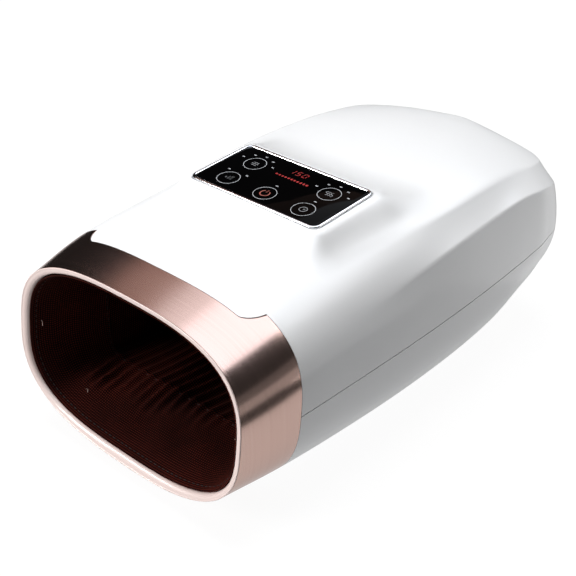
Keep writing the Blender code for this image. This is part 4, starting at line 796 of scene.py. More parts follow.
@dataclass(frozen=True)
class BodyForm:
    """The body's outer surface, from stations along it and levels round it.

    Level 0 is the middle of the deck, 1 the deck's edge, 2 the ridge, 3 the parting line and 4 the belly.
    Each of the five rails lists its points from mouth to tail, as shares of half the width, of the depth and
    of the rise or drop. A soft band is the level of an edge and how far its rounding reaches on either side.
    """

    mouth_width: float = 0.16
    mouth_height: float = 0.094
    mouth_lean: float = 0.0114
    mouth_bow: float = 0.0017
    body_width: float = 0.172
    body_depth: float = 0.2935
    ring_depth: float = 0.0332
    deck_rise: float = 0.0625
    belly_drop: float = 0.052
    tongue_reach: float = 0.0105
    tongue_flat: float = 0.052
    tongue_tip: float = 0.0595
    tongue_power: float = 1.6
    cove_start: float = 1.9
    cove_full: float = 4.3
    flank_bulge: float = 1.8
    cove_hollow: float = 0.1
    keel_radius: float = 0.16
    tail_start: float = 6.5
    crisp_start: float = 6.0
    tail_crispness: float = 0.6
    soft_bands: tuple = ((1.0, 0.045, 0.16), (2.0, 0.09, 0.035))
    break_shares: tuple = (1.0, 0.565, 0.345, 0.0)
    top_powers: tuple = (3.02, 3.0, 2.9, 2.8, 2.8, 2.8, 2.8, 2.8, 2.8, 2.8, 2.8)
    low_powers: tuple = (2.49, 2.6, 2.8, 3.0, 3.0, 2.8, 2.3, 2.05, 1.95, 1.9, 1.9)
    lean_shares: tuple = (1.0, 0.74, 0.4, 0.1, 0, 0, 0, 0, 0, 0, 0)
    spine: tuple = (
        (0, 0, 1.0), (0, 1.0, 0.866), (0, 0.255, 0.95), (0, 0.41, 0.992), (0, 0.562, 1.0), (0, 0.695, 0.98),
        (0, 0.775, 0.952), (0, 0.835, 0.92), (0, 0.88, 0.89), (0, 0.905, 0.868), (0, 0.925, 0.85))
    crease: tuple = (
        (0.71, 0, 0.825), (0.703, 1.0, 0.744), (0.76, 0.255, 0.84), (0.791, 0.414, 0.874),
        (0.789, 0.568, 0.88), (0.771, 0.703, 0.873), (0.759, 0.798, 0.832), (0.758, 0.861, 0.781),
        (0.694, 0.911, 0.737), (0.484, 0.939, 0.733), (0, 0.963, 0.736))
    ridge: tuple = (
        (0.925, 0, 0.585), (0.922, 1.0, 0.51), (0.942, 0.245, 0.583), (0.96, 0.389, 0.658),
        (0.958, 0.532, 0.691), (0.939, 0.663, 0.705), (0.933, 0.753, 0.707), (0.919, 0.837, 0.655),
        (0.819, 0.913, 0.567), (0.515, 0.957, 0.505), (0, 0.984, 0.5))
    parting: tuple = (
        (1.0, 0, 0), (0.983, 1.0, 0.064), (0.994, 0.255, 0.064), (1.0, 0.41, 0.064), (0.996, 0.555, 0.072),
        (0.977, 0.688, 0.078), (0.958, 0.782, 0.088), (0.932, 0.854, 0.1), (0.846, 0.928, 0.114),
        (0.535, 0.972, 0.122), (0, 1.0, 0.125))
    belly: tuple = (
        (0, 0, 1.0), (0, 1.0, 0.965), (0, 0.255, 1.0), (0, 0.41, 1.0), (0, 0.562, 1.0), (0, 0.69, 1.0),
        (0, 0.765, 1.0), (0, 0.82, 0.985), (0, 0.86, 0.96), (0, 0.88, 0.94), (0, 0.9, 0.92))

    @staticmethod
    def along(table: Sequence[Sequence[float]], station: float, mirrored: bool = True) -> tuple[float, ...]:
        """A smooth curve through a table; at the tail it runs square into its mirror image."""
        last = len(table) - 1
        index = min(max(int(station), 0), last - 1)
        part = station - index
        start, end = table[index], table[index + 1]
        before = table[index - 1] if index else mix(end, start, 2)
        if index + 2 <= last:
            after = table[index + 2]
        elif mirrored:
            after = (-start[0], *start[1:])
        else:
            after = mix(start, end, 2)
        return tuple(
            b + 0.5 * part * (c - a + part * (2 * a - 5 * b + 4 * c - d + part * (3 * b - a - 3 * c + d)))
            for a, b, c, d in zip(before, start, end, after))

    def number(self, table: Sequence[float], station: float) -> float:
        """One number along the body."""
        return self.along([(value,) for value in table], station, mirrored=False)[0]

    def rail(self, table: Sequence[Point], station: float, below: bool = False) -> tuple[float, ...]:
        """A point of a rail; station 0 is sized by the mouth and station 1 by the ring."""
        height, half = (-self.belly_drop, -self.mouth_height / 2) if below else (
            self.deck_rise, self.mouth_height / 2)
        points = [(table[0][0] * self.mouth_width / 2, 0.0, table[0][2] * half)]
        for index, (x, y, z) in enumerate(table[1:], 1):
            depth = self.ring_depth if index == 1 else self.body_depth
            points.append((x * self.body_width / 2, y * depth, z * height))
        return self.along(points, station)

    @staticmethod
    def superellipse(angle: float, power: float) -> Spot:
        """A point of a quarter superellipse."""
        across, up = abs(cos(angle)), abs(sin(angle))
        reach = (across ** power + up ** power) ** (-1 / power)
        return reach * across, reach * up

    def point(self, station: float, level: float) -> Point:
        """A point of the right half of the surface, its crease and ridge softly rounded."""
        crispness = 1 - self.tail_crispness * smooth_step((station - self.crisp_start) / 1.5)
        for edge, before, after in self.soft_bands:
            before, after = before * crispness, after * crispness
            if edge - before < level < edge + after and station > self.cove_start:
                share = 0.5 + (level - edge) / (2 * (before if level < edge else after))
                start, turn, end = (self.crisp(station, at) for at in (edge - before, edge, edge + after))
                return mix(mix(start, turn, share), mix(turn, end, share), share)
        return self.crisp(station, level)

    def crisp(self, station: float, level: float) -> Point:
        """A point of the right half before its edges are rounded."""
        spine, parting = self.rail(self.spine, station), self.rail(self.parting, station)
        if level > 3:
            belly = self.rail(self.belly, station, below=True)
            across, down = self.superellipse((level - 3) * pi / 2, self.number(self.low_powers, station))
            x, y, _ = mix(belly, parting, across)
            keel = self.keel_radius * smooth_step((station - self.tail_start) / 2)
            rounded = (hypot(across, keel) - keel) / (hypot(1, keel) - keel)
            y = belly[1] + (parting[1] - belly[1]) * rounded
            z = parting[2] + (belly[2] - parting[2]) * down
        else:
            band = min(int(level), 2)
            part = level - band
            shares = self.break_shares
            share = shares[band] + (shares[band + 1] - shares[band]) * part
            across, up = self.superellipse(share * pi / 2, self.number(self.top_powers, station))
            x, y, _ = mix(spine, parting, across)
            z = parting[2] + (spine[2] - parting[2]) * up
            hardness = smooth_step((station - self.cove_start) / (self.cove_full - self.cove_start))
            if hardness > 0:
                x, y, z = mix((x, y, z), self.creased(station, band, part, spine, parting), hardness)
        y += self.mouth_lean / self.mouth_height * z * self.number(self.lean_shares, station)
        y -= self.mouth_bow * (2 * x / self.mouth_width) ** 2 * max(0.0, 1 - station)
        return x, y, z

    def creased(self, station: float, band: int, part: float, spine: Sequence[float],
                parting: Sequence[float]) -> Point:
        """The surface where the deck's edge and the ridge are crisp."""
        crease, ridge = self.rail(self.crease, station), self.rail(self.ridge, station)
        if band == 0:
            plan, height = mix(spine, crease, part), crease[2] + (spine[2] - crease[2]) * (1 - part * part)
        elif band == 1:
            plan = mix(crease, ridge, part + (1 - cos(part * pi / 2) - part) * self.cove_hollow)
            drop = part + (sin(part * pi / 2) - part) * self.cove_hollow
            height = crease[2] + (ridge[2] - crease[2]) * drop
        else:
            plan = mix(ridge, parting, 1 - (1 - part) ** self.flank_bulge)
            height = ridge[2] + (parting[2] - ridge[2]) * part
        return plan[0], plan[1], height

    def tongue_setback(self, x: float, z: float) -> float:
        """How far the ring's rear edge steps forward under the upper shell's tongue."""
        if z < 0:
            return 0.0
        part = min(max((x - self.tongue_flat) / (self.tongue_tip - self.tongue_flat), 0.0), 1.0)
        return self.tongue_reach * (1 - part ** self.tongue_power) ** (1 / self.tongue_power)

    def edge_station(self, level: float, shift: float) -> float:
        """The station where the ring ends and the shells begin, moved along y by a shift."""
        rear = self.point(1, level)
        target = rear[1] - self.tongue_setback(rear[0] + 2 * shift, rear[2]) + shift
        return crossing(0.4, 1.3, lambda station: self.point(station, level)[1] < target)

    def level_at_x(self, x: float) -> float:
        """The level whose point at the ring's rear edge lies at x."""
        return crossing(0.0, 1.5, lambda level: self.point(1, level)[0] < x)

    def upper_levels(self) -> list[float]:
        """Levels of the upper shell's columns, close together at its creases, pod and tongue."""
        tongue = [self.level_at_x(self.tongue_flat + (self.tongue_tip - self.tongue_flat) * share)
                  for share in (0.0, 0.25, 0.45, 0.62, 0.76, 0.87, 0.94, 0.98, 0.996, 1.0)]
        deck = divided(0.0, 0.05, 0.6, 0.0115, 0.9)
        edge = [0.91, 0.93, 0.945, 0.955, 0.966, 0.977, 0.988, 1.0, 1.02, 1.045, 1.075, 1.11, 1.155]
        cove = divided(1.2, 0.08, 1.86) + [1.86, 1.895, 1.925, 1.952, 1.976, 2.0]
        flank = [2.012, 2.025, 2.04, 2.056, 2.08, 2.12] + divided(2.2, 0.09, 3.0)
        plain = [level for level in deck + edge if all(abs(level - other) > 0.004 for other in tongue)]
        return sorted(plain + tongue) + cove + flank

    def lower_levels(self) -> list[float]:
        """Levels of the lower shell's columns below the parting line."""
        return [3.012, 3.03, 3.06] + divided(3.1, 0.034, 4.0) + [4.0]


def half_surface(name: str, rows: Sequence[Row]) -> Piece:
    """An open surface through rows of points and its mirror image across x = 0, facing out."""
    bm = bmesh.new()
    grid = [[bm.verts.new((0.0 if abs(x) < 1e-6 else x, y, z)) for x, y, z in row] for row in rows]
    for near, far in zip(grid, grid[1:]):
        for column in range(len(near) - 1):
            bm.faces.new((near[column], near[column + 1], far[column + 1], far[column]))
    copy = bmesh.ops.duplicate(bm, geom=bm.verts[:] + bm.edges[:] + bm.faces[:])["geom"]
    bmesh.ops.scale(bm, vec=(-1, 1, 1), verts=[item for item in copy if isinstance(item, bmesh.types.BMVert)])
    bmesh.ops.reverse_faces(bm, faces=[item for item in copy if isinstance(item, bmesh.types.BMFace)])
    bmesh.ops.remove_doubles(bm, verts=bm.verts, dist=SAME_PLACE)
    bmesh.ops.dissolve_degenerate(bm, edges=bm.edges, dist=SAME_PLACE)
    middle = sum((vert.co for vert in bm.verts), Vector()) / len(bm.verts)
    middle.x = 0
    facing = sum(face.calc_area() * face.normal.dot(face.calc_center_median() - middle) for face in bm.faces)
    if facing < 0:
        bmesh.ops.reverse_faces(bm, faces=bm.faces[:])
    return from_bmesh(bm, name)


# Casing


@dataclass
class Casing:
    """The two shells, with the raised pod that carries the panel, and the posts inside.

    The pocket and the window are given by width, depth, corner and lowest point in the panel's own frame, and
    the posts by the height of their foot, the depth of their bore and their radius.
    """

    form: BodyForm
    bench: Bench
    wall: float = 0.0025
    seam_half: float = 0.0003
    pod_width: float = 0.0924
    pod_depth: float = 0.0506
    pod_corner: float = 0.005
    pod_slope: float = 0.85
    pod_rear_slope: float = 0.45
    pod_edge: float = 0.0022
    pod_fillet: float = 0.0085
    pod_rear_fillet: float = 0.006
    pod_fade: Spot = (0.047, 0.018)
    deck_half: float = 0.075
    deck_span: Spot = (0.06, 0.18)
    deck_low: float = 0.04
    pocket: tuple = (0.0892, 0.0474, 0.0048, -0.003)
    window: tuple = (0.0786, 0.0368, 0.002, -0.02)
    panel_y: float = 0.11135
    panel_z: float = 0.06665
    panel_pitch: float = 0.064
    panel_drop: float = 0.0008
    boss_radius: float = 0.005
    seat_radius: float = 0.003
    hole_radius: float = 0.0017
    seat_z: float = -0.006
    foot_radius: float = 0.0083
    foot_pocket: float = -0.0486
    cup_base: float = -0.0508
    below: float = -0.06
    seat_top: float = -0.02
    cutter_top: float = 0.006
    slot_corner: float = 0.0022
    slot_reach: float = 0.02
    rays: int = 8
    root_share: float = 0.4
    post_cap: float = 0.002
    least_rest: float = 0.0005
    screw_post: tuple = (0.00215, 0.0145)
    board_post: tuple = (0.0351, 0.008, 0.0033)
    board_posts: tuple = ((-0.0275, 0.2105), (-0.0275, 0.2475), (0.0275, 0.2105), (0.0275, 0.2475))
    joint_z: float = 0.00185
    tray_rest_z: float = -0.0413
    tray_rests: tuple = ((-0.03165, 0.06205), (0.03165, 0.06205), (-0.03165, 0.16355), (0.03165, 0.16355))
    works_rest_z: float = -0.0415
    works_rests: tuple = ((0.028, 0.218), (0.04, 0.218), (-0.03975, 0.218), (-0.02525, 0.218),
                          (-0.01625, 0.243), (0.01625, 0.243))

    def rows(self, levels: Sequence[float], stations: Sequence[float], rise: float) -> list[Row]:
        """Rows of points from the ring's edge to the tail.

        Args:
            levels: Levels of the columns.
            stations: Stations of the rows.
            rise: Gap left at the parting line, up or down.

        Returns:
            The rows.
        """
        edges = [self.form.edge_station(level, GAP / 2) for level in levels]
        seam = levels.index(3.0)
        rows = []
        for station in stations:
            row = [self.form.point(max(station, edge), level) for level, edge in zip(levels, edges)]
            x, y, z = row[seam]
            row[seam] = (x, y, z + rise)
            rows.append(row)
        return rows

    def toward_rear(self, y: float, front: float, rear: float) -> float:
        """A size that changes from the pod's front edge to its rear edge."""
        return front + (rear - front) * smooth_step(0.5 + (y - self.panel_y) / self.pod_depth)

    def pod_height(self, x: float, y: float) -> float:
        """The height of the pod's own form at a place."""
        top = self.panel_z + (y - self.panel_y) * tan(self.panel_pitch) - self.panel_drop
        across = abs(x) - (self.pod_width / 2 - self.pod_corner)
        back = abs(y - self.panel_y) / cos(self.panel_pitch) - (self.pod_depth / 2 - self.pod_corner)
        away = hypot(max(across, 0.0), max(back, 0.0)) + min(max(across, back), 0.0) - self.pod_corner
        slope = self.toward_rear(y, self.pod_slope, self.pod_rear_slope)
        if away < -self.pod_edge:
            return top
        if away < self.pod_edge:
            return top - slope * (away + self.pod_edge) ** 2 / (4 * self.pod_edge)
        return top - slope * away

    def lifted(self, x: float, y: float, z: float) -> float:
        """The deck's height with the pod blended into it by a soft fillet."""
        pod = self.pod_height(x, y)
        fillet = self.toward_rear(y, self.pod_fillet, self.pod_rear_fillet)
        near = max(fillet - abs(pod - z), 0.0) / fillet
        lift = max(pod, z) + near * near * fillet / 4 - z
        start, length = self.pod_fade
        return z + lift * (1 - smooth_step((abs(x) - start) / length))

    def surface_z(self, tree: BVHTree, x: float, y: float, radius: float, up: bool) -> float:
        """How high or low a post may reach at a place and stay inside the wall."""
        heights = []
        for step in range(self.rays):
            turn = 2 * pi * step / self.rays
            start = Vector((x + radius * cos(turn), y + radius * sin(turn), 0.0))
            hit = tree.ray_cast(start, Vector((0, 0, 1 if up else -1)))[0]
            if hit is not None:
                heights.append(hit.z)
        root = self.wall * self.root_share
        return min(heights) - root if up else max(heights) + root

    def upper(self) -> Piece:
        """The upper shell, its pod and the pocket that takes the panel."""
        levels = self.form.upper_levels() + [3.0]
        stations = divided(0.66, 0.055, 1.1, 0.1, 1.9, 0.022, 2.36, 0.08, 3.08, 0.024, 3.62, 0.11, 6.0, 0.08,
                           9.2, 0.05, 9.9) + [9.9, 9.94, 9.97, 9.99, 10.0]
        made = half_surface("upper_shell_skin", self.rows(levels, stations, self.seam_half))
        outer = len(made.data.vertices)
        walled(made, self.wall)
        for vert in made.data.vertices[:outer]:
            x, y, z = vert.co
            if abs(x) < self.deck_half and self.deck_span[0] < y < self.deck_span[1] and z > self.deck_low:
                vert.co.z = self.lifted(x, y, z)
        for name, hole in (("pocket", self.pocket), ("window", self.window)):
            cutter = rounded_prism(name, *hole, high=self.cutter_top)
            cutter.data.transform(self.panel_frame())
            cut(made, cutter)
        return shade(made, 50)

    def panel_frame(self) -> Matrix:
        """From the panel's own frame to the mouth frame."""
        return Matrix.Translation((0, self.panel_y, self.panel_z)) @ Matrix.Rotation(self.panel_pitch, 4, "X")

    def lower(self) -> Piece:
        """The lower shell, with its foot pockets, screw seats and socket slot."""
        levels = [3.0] + self.form.lower_levels()
        stations = divided(0.98, 0.04, 1.1, 0.12, 6, 0.09, 9.2, 0.06, 9.9) + [9.9, 9.95, 9.98, 10.0]
        made = half_surface("lower_shell_skin", self.rows(levels, stations, -self.seam_half))
        walled(made, self.wall)
        cutters = []
        for places, radius, top, sides in ((self.case_places(), self.seat_radius, self.seat_top, 28),
                                           (self.foot_places(), self.foot_radius, self.foot_pocket, 48)):
            profile = [(0, self.below), (radius, self.below), (radius, top), (0, top)]
            cutters += [turned("hole", profile, (x, y, 0), sides) for x, y in places]
        low, high = node_box("charge_socket")
        width, height = high.x - low.x + 2 * GAP, high.z - low.z + 2 * GAP
        slot = rounded_prism("slot", width, height, self.slot_corner, -self.slot_reach, self.slot_reach)
        slot.data.transform(Matrix.Translation((0, high.y, (low.z + high.z) / 2)) @ UPRIGHT)
        cut(made, joined("pockets", cutters), slot)
        return shade(made, 50)

    def mirrored(self, shares: Sequence[Spot]) -> list[Spot]:
        """Places on both sides, from shares of the body's half width and depth."""
        width, depth = self.form.body_width, self.form.body_depth
        return [(side * x * width / 2, y * depth) for x, y in shares for side in (-1, 1)]

    def case_places(self) -> list[Spot]:
        """Where the case screws stand."""
        return self.mirrored(((0.64, 0.699), (0.5, 0.89)))

    def foot_places(self) -> list[Spot]:
        """Where the feet stand."""
        return self.mirrored(((0.34, 0.19), (0.34, 0.76)))

    def posts(self, upper: Piece, lower: Piece) -> tuple[Piece, Piece]:
        """The posts, bosses, cups and rests moulded inside the upper and the lower shell."""
        roof, floor = (BVHTree.FromPolygons([vert.co for vert in shell.data.vertices],
                                            [tuple(face.vertices) for face in shell.data.polygons])
                       for shell in (upper, lower))
        seat, bore, boss, foot = self.seat_radius, self.hole_radius, self.boss_radius, self.foot_radius
        high, low = [], []
        pilots = [(x, y, *self.screw_post, boss) for x, y in self.case_places()]
        pilots += [(x, y, *self.board_post) for x, y in self.board_posts]
        for x, y, base, depth, radius in pilots:
            top = self.surface_z(roof, x, y, radius, True) - base
            end = min(depth, top - self.post_cap)
            profile = [(0, top), (radius, top), (radius, 0.0), (bore, 0.0), (bore, end), (0, end)]
            high.append(turned("post", profile, (x, y, base), 24))
        for x, y in self.case_places():
            base = self.surface_z(floor, x, y, boss, False)
            sink, top = self.seat_z - base, self.joint_z - base
            profile = [(seat, 0), (seat, sink), (bore, sink), (bore, top), (boss, top), (boss, 0)]
            low.append(turned("boss", profile, (x, y, base), 28))
        pocket = self.foot_pocket - self.cup_base
        outer, top = foot + self.wall, pocket + self.wall
        profile = [(0, pocket), (foot, pocket), (foot, 0), (outer, 0), (outer, top), (0, top)]
        low += [turned("cup", profile, (x, y, self.cup_base), 48) for x, y in self.foot_places()]
        for top, places in ((self.tray_rest_z, self.tray_rests), (self.works_rest_z, self.works_rests)):
            for x, y in places:
                base = self.surface_z(floor, x, y, boss, False)
                if top - base > self.least_rest:
                    profile = [(0, 0), (boss, 0), (boss, top - base), (0, top - base)]
                    low.append(turned("rest", profile, (x, y, base), 24))
        return shade(joined("upper_posts", high)), shade(joined("lower_posts", low))

    def build(self) -> None:
        """Builds and seats the shells and posts."""
        upper, lower = self.upper(), self.lower()
        high, low = self.posts(upper, lower)
        for piece, replaces in ((upper, ["upper_shell"]), (lower, ["lower_shell"]), (high, []), (low, [])):
            self.bench.seat(piece, Slot.SHELL, replaces)


# Mouth


@dataclass
class MouthTrim:
    """The metal ring round the mouth and the pale lip inside it."""

    form: BodyForm
    bench: Bench
    ring_wall: float = 0.001
    lip_side: float = 0.0039
    lip_top: float = 0.0033
    lip_bottom: float = 0.0047
    lip_recess: float = 0.001
    lip_thickness: float = 0.0016
    lip_powers: tuple = (3.0, 2.75)
    funnel_end_y: float = 0.04
    funnel_half: float = 0.0608
    funnel_top: float = 0.0344
    funnel_floor: float = 0.0315
    funnel_power: float = 10.0
    crown: float = 0.00045
    bead: float = 0.00045
    bead_profile: tuple = ((0.5, 0.05), (0.15, 0.3), (0.0, 0.75), (0.2, 1.2), (0.65, 1.45), (1.2, 1.4),
                           (1.7, 1.1))
    steps: int = 440

    def ring(self) -> Piece:
        """The ring, its rear edge stepped for the tongue."""
        levels = self.form.upper_levels() + [3.0] + self.form.lower_levels()
        edges = [self.form.edge_station(level, -GAP / 2) for level in levels]
        stations = [0.0, 0.012, 0.05] + divided(0.11, 0.06, 1.04) + [1.04, 1.08]
        rows = [[self.form.point(min(station, edge), level) for level, edge in zip(levels, edges)]
                for station in stations]
        made = half_surface("mouth_ring_band", rows)
        walled(made, self.ring_wall)
        return shade(made, 45)

    def oval(self, half_width: float, top: float, bottom: float, powers: Sequence[float]) -> list[Spot]:
        """Points round the mouth: a superellipse with unlike upper and lower halves."""
        points = []
        for step in range(self.steps):
            angle = 2 * pi * step / self.steps
            power, height = (powers[0], top) if sin(angle) >= 0 else (powers[1], -bottom)
            across, up = self.form.superellipse(angle, power)
            side = 1 if cos(angle) >= 0 else -1
            points.append((side * half_width * across, up * height))
        return points

    def leaned(self, shape: Sequence[Spot], y: float) -> Row:
        """Places a mouth-shaped loop at a depth, leaned and bowed as the mouth is."""
        width, bow = self.form.mouth_width, self.form.mouth_bow
        lean = self.form.mouth_lean / self.form.mouth_height
        return [(x, y + lean * z - bow * (2 * x / width) ** 2, z) for x, z in shape]

    def lip_outer(self, inset: float, y: float) -> Row:
        """The loop inside the ring."""
        half = self.form.mouth_height / 2 - inset
        powers = (self.form.top_powers[0], self.form.low_powers[0])
        return self.leaned(self.oval(self.form.mouth_width / 2 - inset, half, half, powers), y)

    def lip_inner(self, inset: float, y: float) -> Row:
        """The loop at the lip's inner edge."""
        half = self.form.mouth_height / 2 - inset
        shape = self.oval(self.form.mouth_width / 2 - self.lip_side - inset, half - self.lip_top,
                          half - self.lip_bottom, self.lip_powers)
        return self.leaned(shape, y)

    def throat(self, share: float, inset: float) -> Row:
        """A loop from the lip's inner edge, share 0, to the tunnel's front, share 1."""
        end = self.oval(self.funnel_half - inset, self.funnel_top - inset, self.funnel_floor - inset,
                        (self.funnel_power, self.funnel_power))
        return [mix(start, (x, self.funnel_end_y, z), share)
                for start, (x, z) in zip(self.lip_inner(inset, self.lip_recess), end)]

    def lip(self) -> Piece:
        """The lip: a bead over the ring's front edge, a softly crowned face and the wall behind the cloth."""
        edge = self.ring_wall + 2 * GAP
        inner = self.lip_inner(0, self.lip_recess)
        loops = [self.lip_outer(edge, GAP + self.lip_thickness), self.lip_outer(edge, GAP)]
        loops += [self.lip_outer(inset * self.bead, -rise * self.bead) for inset, rise in self.bead_profile]
        outer = self.lip_outer(2.1 * self.bead, -0.75 * self.bead)
        for share in (0.0, 0.15, 0.32, 0.5, 0.66, 0.8, 0.9):
            crown = self.crown * 4 * share * (1 - share)
            loops.append([(x, y - crown, z) for x, y, z in (mix(a, b, share) for a, b in zip(outer, inner))])
        back = self.throat(0.06, 0)
        for share in (0.3, 0.65):
            loops.append([mix(mix(a, b, 0.04), c, share) for a, b, c in zip(inner, outer, back)])
        loops += [self.throat(share, 0) for share in (0.06, 0.12, 0.4, 0.7, 1.0)]
        loops += [self.throat(share, -self.lip_thickness) for share in (1.0, 0.7, 0.4, 0.12)]
        loops.append(self.lip_inner(-self.lip_thickness, self.lip_recess + self.lip_thickness))
        return shade(loft("mouth_lip_bead", loops, capped=False), 50)

    def build(self) -> None:
        """Builds and seats the ring and the lip."""
        self.bench.seat(self.ring(), Slot.ROSE, ["mouth_ring"])
        self.bench.seat(self.lip(), Slot.LIP, ["mouth_lip"])


# Lining


@dataclass
class Lining:
    """The cloth that lines the hand's tunnel, its stitches and its loose threads.

    A seam is its share of the way down the throat and the pitch of its stitches. A thread end is where it
    starts, how long it is and how it is turned.
    """

    trim: MouthTrim
    bench: Bench
    cloth: float = 0.0009
    tunnel_front: float = 0.0403
    tunnel_length: float = 0.145
    taper: float = 0.905
    liner_half: float = 0.0608
    liner_rear: float = 0.1828
    side_low: float = -0.0302
    side_high: float = 0.0356
    panel_half: float = 0.059
    panel_front: float = 0.0404
    panel_rear: float = 0.181
    floor_top: float = -0.03
    ceiling_low: float = 0.0329
    pleat_pitch: float = 0.0064
    pleat_height: float = 0.003
    pleat_front: float = 0.012
    lead_in: float = 0.0012
    seams: tuple = ((0.075, 0.0031), (0.975, 0.0036))
    stitch_share: float = 0.68
    stitch_size: Spot = (0.0005, 0.00034)
    stitch_lift: float = 0.0001
    strand: float = 0.00022
    ripple: float = 0.00045
    fine_ripple: float = 0.0003
    pull: float = 0.0008
    seam_inset: float = 0.0012
    sag: float = 0.0011
    slack: float = 0.0006
    corner: float = 0.0022
    corner_steps: int = 8
    half_columns: int = 76
    row_pitch: float = 0.0027
    thread_steps: int = 12
    thread_places: tuple = ((-0.075, 0.004, 0.001, 0.0052, -0.15), (0.0752, 0.0045, 0.0015, 0.0048, 3.3),
                            (0.0735, 0.011, 0.017, 0.0016, 3.6), (-0.044, 0.009, -0.0325, 0.002, 2.0))

    def narrowed(self, y: float) -> float:
        """How much narrower the tunnel is at y than at its front."""
        return 1 - (1 - self.taper) * (y - self.tunnel_front) / self.tunnel_length

    def cloth_from_grid(self, name: str, grid: Sequence[Row], around: bool, flip: bool) -> Piece:
        """A cloth, as thick as it is away from the hand, with a UV map in metres that follows it.

        Args:
            name: The object's name.
            grid: Rows of points on the hand's side.
            around: Whether each row closes on itself.
            flip: Whether to turn the faces over.

        Returns:
            The cloth.
        """
        count = len(grid[0])
        faces = [tuple(reversed(face)) if flip else face for face in quads(len(grid), count, around)]
        made = mesh_object(name, [point for row in grid for point in row], faces)
        ring = self.outline(grid, around)
        across = np.zeros(ring.shape[:2])
        across[:, 1:] = np.cumsum(np.linalg.norm(np.diff(ring, axis=1), axis=2), axis=1)
        if not around:
            across -= across[:, -1:] / 2
        down = np.zeros(ring.shape[:2])
        down[1:] = np.cumsum(np.linalg.norm(np.diff(ring, axis=0), axis=2), axis=0)
        layer = made.data.uv_layers.new(name="cut")
        for face in made.data.polygons:
            for corner in face.loop_indices:
                row, column = divmod(made.data.loops[corner].vertex_index, count)
                if around and column == 0 and any(vertex % count == count - 1 for vertex in face.vertices):
                    column = count
                layer.data[corner].uv = (across[row, column], down[row, column])
        return shade(walled(made, self.cloth), 70)

    @staticmethod
    def outline(grid: Sequence[Row], around: bool) -> np.ndarray:
        """A grid's points, each row led back to its start where it closes on itself."""
        points = np.array(grid, float)
        return np.concatenate([points, points[:, :1]], axis=1) if around else points

    def area(self, grid: Sequence[Row], around: bool) -> float:
        """The area of a grid's surface."""
        points = self.outline(grid, around)
        first = np.cross(points[1:, :-1] - points[:-1, :-1], points[:-1, 1:] - points[:-1, :-1])
        second = np.cross(points[1:, 1:] - points[:-1, 1:], points[1:, 1:] - points[1:, :-1])
        return float(np.linalg.norm(first, axis=2).sum() + np.linalg.norm(second, axis=2).sum()) / 2

    def declare(self, sheet: Piece, grid: Sequence[Row], around: bool) -> None:
        """States the flat cut that a sheet was made from.

        Args:
            sheet: The finished piece.
            grid: The grid it was drawn from.
            around: Whether its rows close on themselves.
        """
        ring = self.outline(grid, around)
        width = float(np.linalg.norm(np.diff(ring, axis=1), axis=2).sum(axis=1).max())
        length = float(np.linalg.norm(np.diff(ring, axis=0), axis=2).sum(axis=0).max())
        area = min(self.area(grid, around), width * length)
        log.info("%s is cut %.0f x %.0f mm", sheet.name, width * 1000, length * 1000)

    def funnel_grid(self) -> list[Row]:
        """The funnel from the lip back to the tunnel, its front edge turned under."""
        hem = ((0.05, GAP * 1.2), (0.022, GAP * 1.5), (0.008, 0.0007), (0.012, 0.00125))
        loops = [self.trim.throat(share, inset) for share, inset in hem]
        for share in [0.03, 0.055, 0.09, 0.13] + divided(0.17, 0.04, 1.0) + [1.0]:
            loop = []
            swell = sin(pi * min(max((share - 0.05) / 0.95, 0.0), 1.0))
            for index, (x, y, z) in enumerate(self.trim.throat(share, GAP + self.seam_inset)):
                turn = 2 * pi * index / self.trim.steps
                wave = self.ripple * sin(9 * turn + 1.3) + self.fine_ripple * sin(17 * turn + 4.0 * share)
                pull = self.pull * sin(pi * share) * sin(5 * turn + 0.4)
                drift = swell * (wave + pull * 0.6)
                shrink, side = 1 - drift / hypot(x, z), 1.0 if z < 0 else -1.0
                lift = self.pleat(x, y, side) * smooth_step((abs(z) - 0.012) / 0.012)
                loop.append((x * shrink, y, z * shrink + side * lift))
            loops.append(loop)
        return loops

    def side_grid(self) -> list[Row]:
        """Side walls and rear wall as one upright band, in rows from low to high."""
        half, rear, corner = self.liner_half - self.seam_inset, self.liner_rear - self.seam_inset, self.corner
        front = self.tunnel_front - 0.0004
        right = [(half * self.narrowed(y), y) for y in steps_between(front, rear - corner, 0.0035)]
        end = half * self.narrowed(rear - corner)
        for step in range(self.corner_steps + 1):
            turn = pi / 2 * step / self.corner_steps
            right.append((end - corner + corner * cos(turn), rear - corner + corner * sin(turn)))
        right += [(x, rear) for x in steps_between(end - corner, 0, -0.004)[1:]]
        outline = right + [(0.0, rear)] + [(-x, y) for x, y in reversed(right)]
        rows = []
        for height in [0, 0.06, 0.14, 0.24, 0.36, 0.5, 0.64, 0.76, 0.86, 0.94, 1]:
            z = self.side_low + (self.side_high - self.side_low) * height
            row = []
            for x, y in outline:
                depth = smooth_step((y - front) / 0.02) * sin(pi * height)
                sag = self.sag * depth * (0.5 + 0.5 * sin(y * 330 + 2.2 * height + (1.7 if x > 0 else 0.2)))
                row.append((x * (1 - sag / max(abs(x), 0.02)) if y < rear - 0.001 else x, y - sag * 0.3, z))
            rows.append(row)
        return rows

